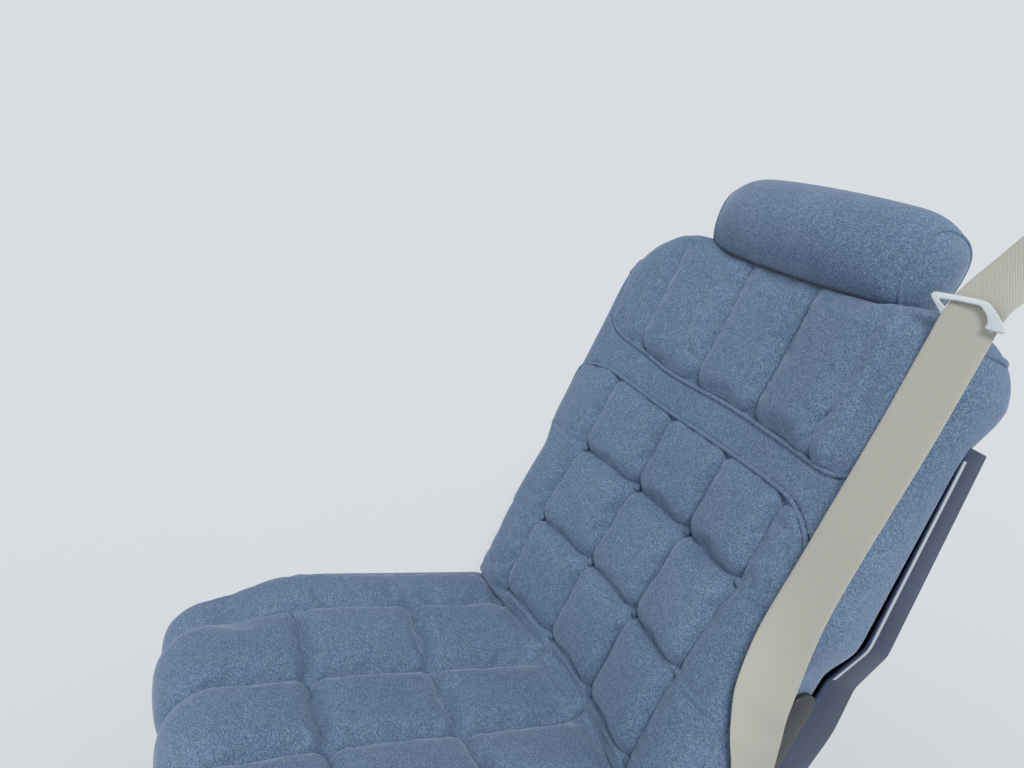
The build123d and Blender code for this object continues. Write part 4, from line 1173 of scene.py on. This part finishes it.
nose_lengths, nose_points = resampled(cut_corners(NOSE_PATH, 0.25, 3, closed=False), NOSE_POINTS)
nose_run = np.gradient(nose_points, axis=0)
nose_run /= np.linalg.norm(nose_run, axis=1, keepdims=True)
nose_normal = np.stack([nose_run[:, 1], -nose_run[:, 0]], axis=1)
seam_places = [
    float(np.interp(-y, -nose_points[:TOP_POINTS, 0], nose_lengths[:TOP_POINTS]))
    for y in CUSHION_SEAM_YS
]
cushion_stops = (0.0, *seam_places, float(nose_lengths[-1]))
print("pillows along the cushion:", np.diff(cushion_stops).round(1), "mm")


def along_nose(x, run, height):
    """Points at a height above the path, at right angles to it."""
    y, z = (np.interp(run, nose_lengths, nose_points[:, i]) for i in range(2))
    normal_y, normal_z = (np.interp(run, nose_lengths, nose_normal[:, i]) for i in range(2))
    return in_metres(x, y + height * normal_y, z + height * normal_z)


# %% Cushion insert
CUSHION_COUNTS = (22, 26, 26, 26, 22)
CUSHION_ROWS = (34, 34, 44)
CUSHION_PILLOW = 16.0
CUSHION_CROWN = 4.0
CUSHION_LONG_PILLOW = 9.0
INSERT_HALF, INSERT_TAPER = 228, 32


def cushion_layout(across, along):
    nominal = between(across, COLUMN_STOPS, CUSHION_COUNTS)
    run = between(along, cushion_stops, CUSHION_ROWS)
    share_x, _ = cell_share(nominal, COLUMN_STOPS)
    edge_x = INSERT_HALF - INSERT_TAPER * smooth((run - seam_places[1] + 20) / 150)
    return spread(nominal, edge_x), run, share_x, edge_x


def cushion_swell(x, run):
    """Height of the seams above the path."""
    y = np.interp(run, nose_lengths, nose_points[:, 0])
    return bolster_rise(x, y) * smooth(run / 60) - 12 * smooth((np.abs(x) - 200) / 40)


def cushion_face(across, along):
    x, run, share_x, edge_x = cushion_layout(across, along)
    ax = np.abs(x)
    share_run, cell = cell_share(run, cushion_stops)
    from_seam = np.minimum(share_x, 1 - share_x) * PILLOW_WIDTH
    from_row = np.minimum(share_run, 1 - share_run) * np.diff(cushion_stops)[cell]
    puff = CUSHION_PILLOW * pillow(from_seam, from_row, TUFT_CORNER, 30)
    puff += CUSHION_CROWN * np.sin(np.pi * share_x) * np.sin(np.pi * share_run)
    from_edge = np.minimum(edge_x - ax, np.minimum(run, cushion_stops[-1] - run))
    long_puff = CUSHION_LONG_PILLOW * pillow(ax - LAST_SEAM, from_edge, 20, 26)
    dip = SEAM_DIP + TUFT_DIP * tuft_pull(x, run, seam_places, 14)
    seam = cushion_swell(x, run) - np.where(on_border(across, along), SEAM_DIP, dip)
    return along_nose(x, run, seam + np.where(ax < LAST_SEAM, puff, long_puff))


def cushion_backing(across, along):
    x, run, _, _ = cushion_layout(across, along)
    depth = np.where(on_border(across, along), SEAM_DIP, BACKING + 2)
    return along_nose(x, run, cushion_swell(x, run) - depth)


cushion_quilt = sewn_insert(
    "cushion_quilt", CUSHION_COUNTS, CUSHION_ROWS, cushion_face, cushion_backing,
    pressure=1.8, spare=0.02, cap=5,
)
finish_piece(cushion_quilt, "seat_base", "velour_sewn", ["cushion_insert"])
press_under_back(cushion_quilt)

# %% [markdown]
# ## The belt
#
# Belt webbing is polyester, woven as a close twill, 48 mm wide and just over a millimetre
# thick. It is a flat strip that never stretches across, so it is modelled directly: a grid
# whose rows follow the belt's way down, and whose thickness comes from a Solidify
# modifier. The twill follows the strip, so the material reads the strip's own UV map. Its
# ribs are drawn a little wider than they are, so that they show.

# %% Belt material
TWILL_STEP = 1.7
TWILL_TURN = math.radians(38)
FIBRE_SCALE = 900


def webbing(name):
    material, tree = new_material(name)
    strip = add(tree, "ShaderNodeUVMap", {"uv_map": "UVMap"}).outputs["UV"]
    turned = add(tree, "ShaderNodeMapping", Vector=strip, Rotation=(0, 0, TWILL_TURN))
    ribs = add(
        tree, "ShaderNodeTexWave", {"wave_type": "BANDS", "bands_direction": "X"},
        Vector=turned.outputs["Vector"], Scale=2 * math.pi / 20 / (TWILL_STEP * MM),
        Distortion=0.6, Detail=1.0,
    )
    fibres = add(tree, "ShaderNodeTexNoise", Vector=strip, Scale=FIBRE_SCALE, Detail=3.0)
    weave, fuzz = ribs.outputs["Fac"], fibres.outputs["Fac"]
    shade = add(tree, "ShaderNodeMix", Factor=0.35, A=weave, B=fuzz).outputs[0]
    colour_and_relief(
        tree, shade, ((0.1, "#a6a49b"), (0.5, "#b2b0a7"), (0.9, "#bebcb1")),
        shade, 0.3, 0.0004, Roughness=0.62, Sheen_Weight=0.2,
    )
    return material


FINISHES["belt_weave"] = webbing("polyester_belt_twill")

# %% Belt strap
BELT_WIDTH = 48.0
BELT_LENGTH = 620.0
BELT_THICKNESS = 1.3
BELT_CURL = 7.0
BELT_STATIONS = (
    (500, 243, -2, 0), (478, 240, 6, 0), (452, 236, 15, 0), (430, 232, 23, 1),
    (412, 229, 27.5, 3), (398, 228, 28, 4), (380, 229, 28, 5), (340, 230, 27.5, 5),
    (300, 231, 27, 5), (200, 231, 26.5, 4), (150, 231, 25.5, 5), (120, 232, 25.5, 11),
    (95, 234, 25, 22), (68, 237, 23, 34), (40, 240.5, 19.5, 46), (18, 243, 10, 58),
    (0, 245.5, 2.5, 68), (-20, 245, -12, 80), (-40, 242.1, -24, 90),
)


def belt_place(across, along):
    """Stations give level, place across, depth and turn, evenly spaced and smoothed."""
    line = spaced(BELT_STATIONS, 4)
    v, x, w, turn = (np.interp(along, np.linspace(0, 1, len(line)), row) for row in line.T)
    side = (across - 0.5) * BELT_WIDTH
    turn = np.radians(turn)
    above_guide = smooth((v - 408) / 30) * smooth((500 - v) / 20)
    curl = BELT_CURL * above_guide * (side / BELT_WIDTH + 0.5) ** 3
    return on_back(x + side * np.cos(turn), v - 0.4 * curl, w - side * np.sin(turn) - curl)


belt_strap = sheet("belt_strap", 8, 150, belt_place)
uv = belt_strap.data.uv_layers[0]
uv.name = "UVMap"
corner_points = np.empty(len(belt_strap.data.loops), np.int32)
belt_strap.data.loops.foreach_get("vertex_index", corner_points)
uv_points = np.stack([
    take_number(belt_strap, "across")[corner_points] * BELT_WIDTH * MM,
    take_number(belt_strap, "along")[corner_points] * BELT_LENGTH * MM,
], axis=1)
uv.data.foreach_set("uv", uv_points.astype(np.float32).ravel())
select_only(belt_strap)
thick = belt_strap.modifiers.new("Solidify", "SOLIDIFY")
thick.thickness = BELT_THICKNESS * MM
thick.offset = 0
bpy.ops.object.modifier_apply(modifier="Solidify")
subdivide(belt_strap)
finish_piece(belt_strap, "backrest", "belt_weave", ["belt_webbing"])

# %% [markdown]
# ## The belt guide
#
# The guide is a moulded loop of pale acetal that keeps the belt on the shoulder. A thin
# bar passes in front of the belt, a narrow leg goes down on one side and a broad flange on
# the other, and a round bar closes the loop behind. The front is a flat filled curve with
# a rounded edge, which is quick to outline. The bar and its stalk are bevelled curves.

# %% Belt guide
GUIDE_OUTLINE = (
    (189.4, 405.6), (190.2, 408.6), (193.0, 409.6), (211, 411.4), (230.3, 413.2),
    (237.8, 412.4), (247.6, 406.6), (258.2, 398.6), (260.6, 395.4), (259.4, 393.0),
    (245.0, 392.5), (245.2, 397.6), (241.2, 402.8), (232.6, 408.4), (213, 407.0),
    (196.4, 404.6), (209.6, 397.2), (203.4, 393.2),
)
GUIDE_THICKNESS = 2.8
GUIDE_EDGE = 1.0
GUIDE_W = 31.8
GUIDE_LEG_DIP = 5.5
GUIDE_REAR_BAR = (
    (203.5, 396, 26), (206, 393, 24), (216, 390.5, 22.5), (232, 390, 22), (245, 390.5, 22),
    (247.5, 393, 25), (249, 396, 30),
)
GUIDE_STALK = ((228, 390, 22), (228, 389, 10), (226, 384, 0), (224, 374, -12))
BAR_RADIUS, STALK_RADIUS = 2.0, 3.0


x, v = cut_corners(GUIDE_OUTLINE, 0.12, 2).T
guide_front = tube(
    "belt_loop", in_metres(x, v, 0 * x), GUIDE_EDGE, closed=True, sides=2, plate=GUIDE_THICKNESS,
)
x, v, lift_w = (read_points(guide_front) / MM).T
dip = GUIDE_LEG_DIP * smooth((404 - v) / 8) * smooth((216 - x) / 10)
write_points(guide_front, on_back(x, v, GUIDE_W - dip + lift_w))
rear_bar = tube("guide_rear_bar", on_back(*spaced(GUIDE_REAR_BAR, 2).T), BAR_RADIUS, sides=4)
stalk = tube("guide_stalk", on_back(*spaced(GUIDE_STALK, 3).T), STALK_RADIUS, sides=4)
select_only(guide_front, rear_bar, stalk)
bpy.ops.object.join()
weld(guide_front, gap=0.02)
finish_piece(guide_front, "backrest", "pale_plastic", ["belt_guide"])

# %% [markdown]
# ## Rounded edges on the moulded and pressed parts
#
# A moulded shell or a pressed plate has no knife edges: the tool leaves a small radius,
# and that radius is what catches the light. The CAD parts have true planes and sharp
# edges. Each is copied, the copy's loose triangles are merged back into flat faces, and a
# Bevel modifier rounds every edge that turns by more than 35 degrees.

# %% Rounded copies
EDGE_RADII = {
    "back_shell": 5.0, "side_cover_inboard": 4.0, "side_cover_outboard": 4.0,
    "hinge_cap_inboard": 4.5, "hinge_cap_outboard": 4.5, "slide_bar": 1.8,
    "fold_release": 1.2, "back_arm_inboard": 1.0, "back_arm_outboard": 1.0,
    "belt_anchor_low": 0.7, "belt_anchor_top": 0.7,
}
bodies = frame["record"]["behaviour"]["bodies"]
body_of_node = {name: body for body, names in bodies.items() for name in names}

for name, radius in EDGE_RADII.items():
    part = put_in_scene("rounded_" + name, nodes[name].data.copy())
    weld(part, gap=0.02, flat_angle=1.0)
    edge = part.modifiers.new("Bevel", "BEVEL")
    edge.width = radius * MM
    edge.segments = 3
    edge.limit_method = "ANGLE"
    edge.angle_limit = math.radians(35)
    bpy.ops.object.modifier_apply(modifier="Bevel")
    finish_piece(part, body_of_node[name], slot_of_node[name], [name])

# %% [markdown]
# ## Floor and light
#
# A wide pale floor under a pale sky of the same tone, so that no horizon shows. The key
# light is a sun with a wide angle: its shadows are soft, and its level doesn't change with
# distance. It comes from above on the outboard side, as in the photograph, and two weaker
# ones fill the front and the rear. The levels are chosen so that a colour renders about as
# it is written.

# %% Floor and light
FLOOR_SIZE = 120
SKY_SEEN = "#d9dde1"
SKY_LIGHT = 0.45
SUNS = (
    ("key_light", (-0.7, 0.25, -0.9), 20, 2.0),
    ("front_fill", (0.6, 0.9, -0.5), 60, 0.3),
    ("rear_fill", (-0.3, -0.9, -0.45), 60, 0.45),
)

bpy.ops.object.select_all(action="DESELECT")
bpy.ops.mesh.primitive_plane_add(size=FLOOR_SIZE, location=(0, 0, 0))
floor = bpy.context.object
floor.name = "floor"
floor_material, floor_tree = new_material("pale_floor")
set_shader(floor_tree, Base_Color=linear("#dcdfe2"), Roughness=1.0, Specular_IOR_Level=0.0)
floor.data.materials.append(floor_material)

for name, towards, angle, strength in SUNS:
    bpy.ops.object.select_all(action="DESELECT")
    bpy.ops.object.light_add(type="SUN", location=(0, 0, 3))
    lamp = bpy.context.object
    lamp.name = name
    lamp.data.angle = math.radians(angle)
    lamp.data.energy = strength
    lamp.rotation_euler = Vector(towards).to_track_quat("-Z", "Y").to_euler()

world = bpy.data.worlds.new("studio")
bpy.context.scene.world = world
world.use_nodes = True
sky = world.node_tree
path = add(sky, "ShaderNodeLightPath")
seen = path.outputs["Is Camera Ray"]
for ray in ("Is Glossy Ray", "Is Transmission Ray"):
    either = add(sky, "ShaderNodeMath", {"operation": "MAXIMUM"}, _0=seen, _1=path.outputs[ray])
    seen = either.outputs[0]
lighting = sky.nodes["Background"]
fill_inputs(sky, lighting, Color=linear("#eceff2"), Strength=SKY_LIGHT)
backdrop = add(sky, "ShaderNodeBackground", Color=linear(SKY_SEEN))
mixed = add(
    sky, "ShaderNodeMixShader", _0=seen, _1=lighting.outputs[0], _2=backdrop.outputs[0],
)
fill_inputs(sky, sky.nodes["World Output"], Surface=mixed.outputs[0])
bpy.context.scene.view_settings.view_transform = "Standard"
print("suns:", len(SUNS))
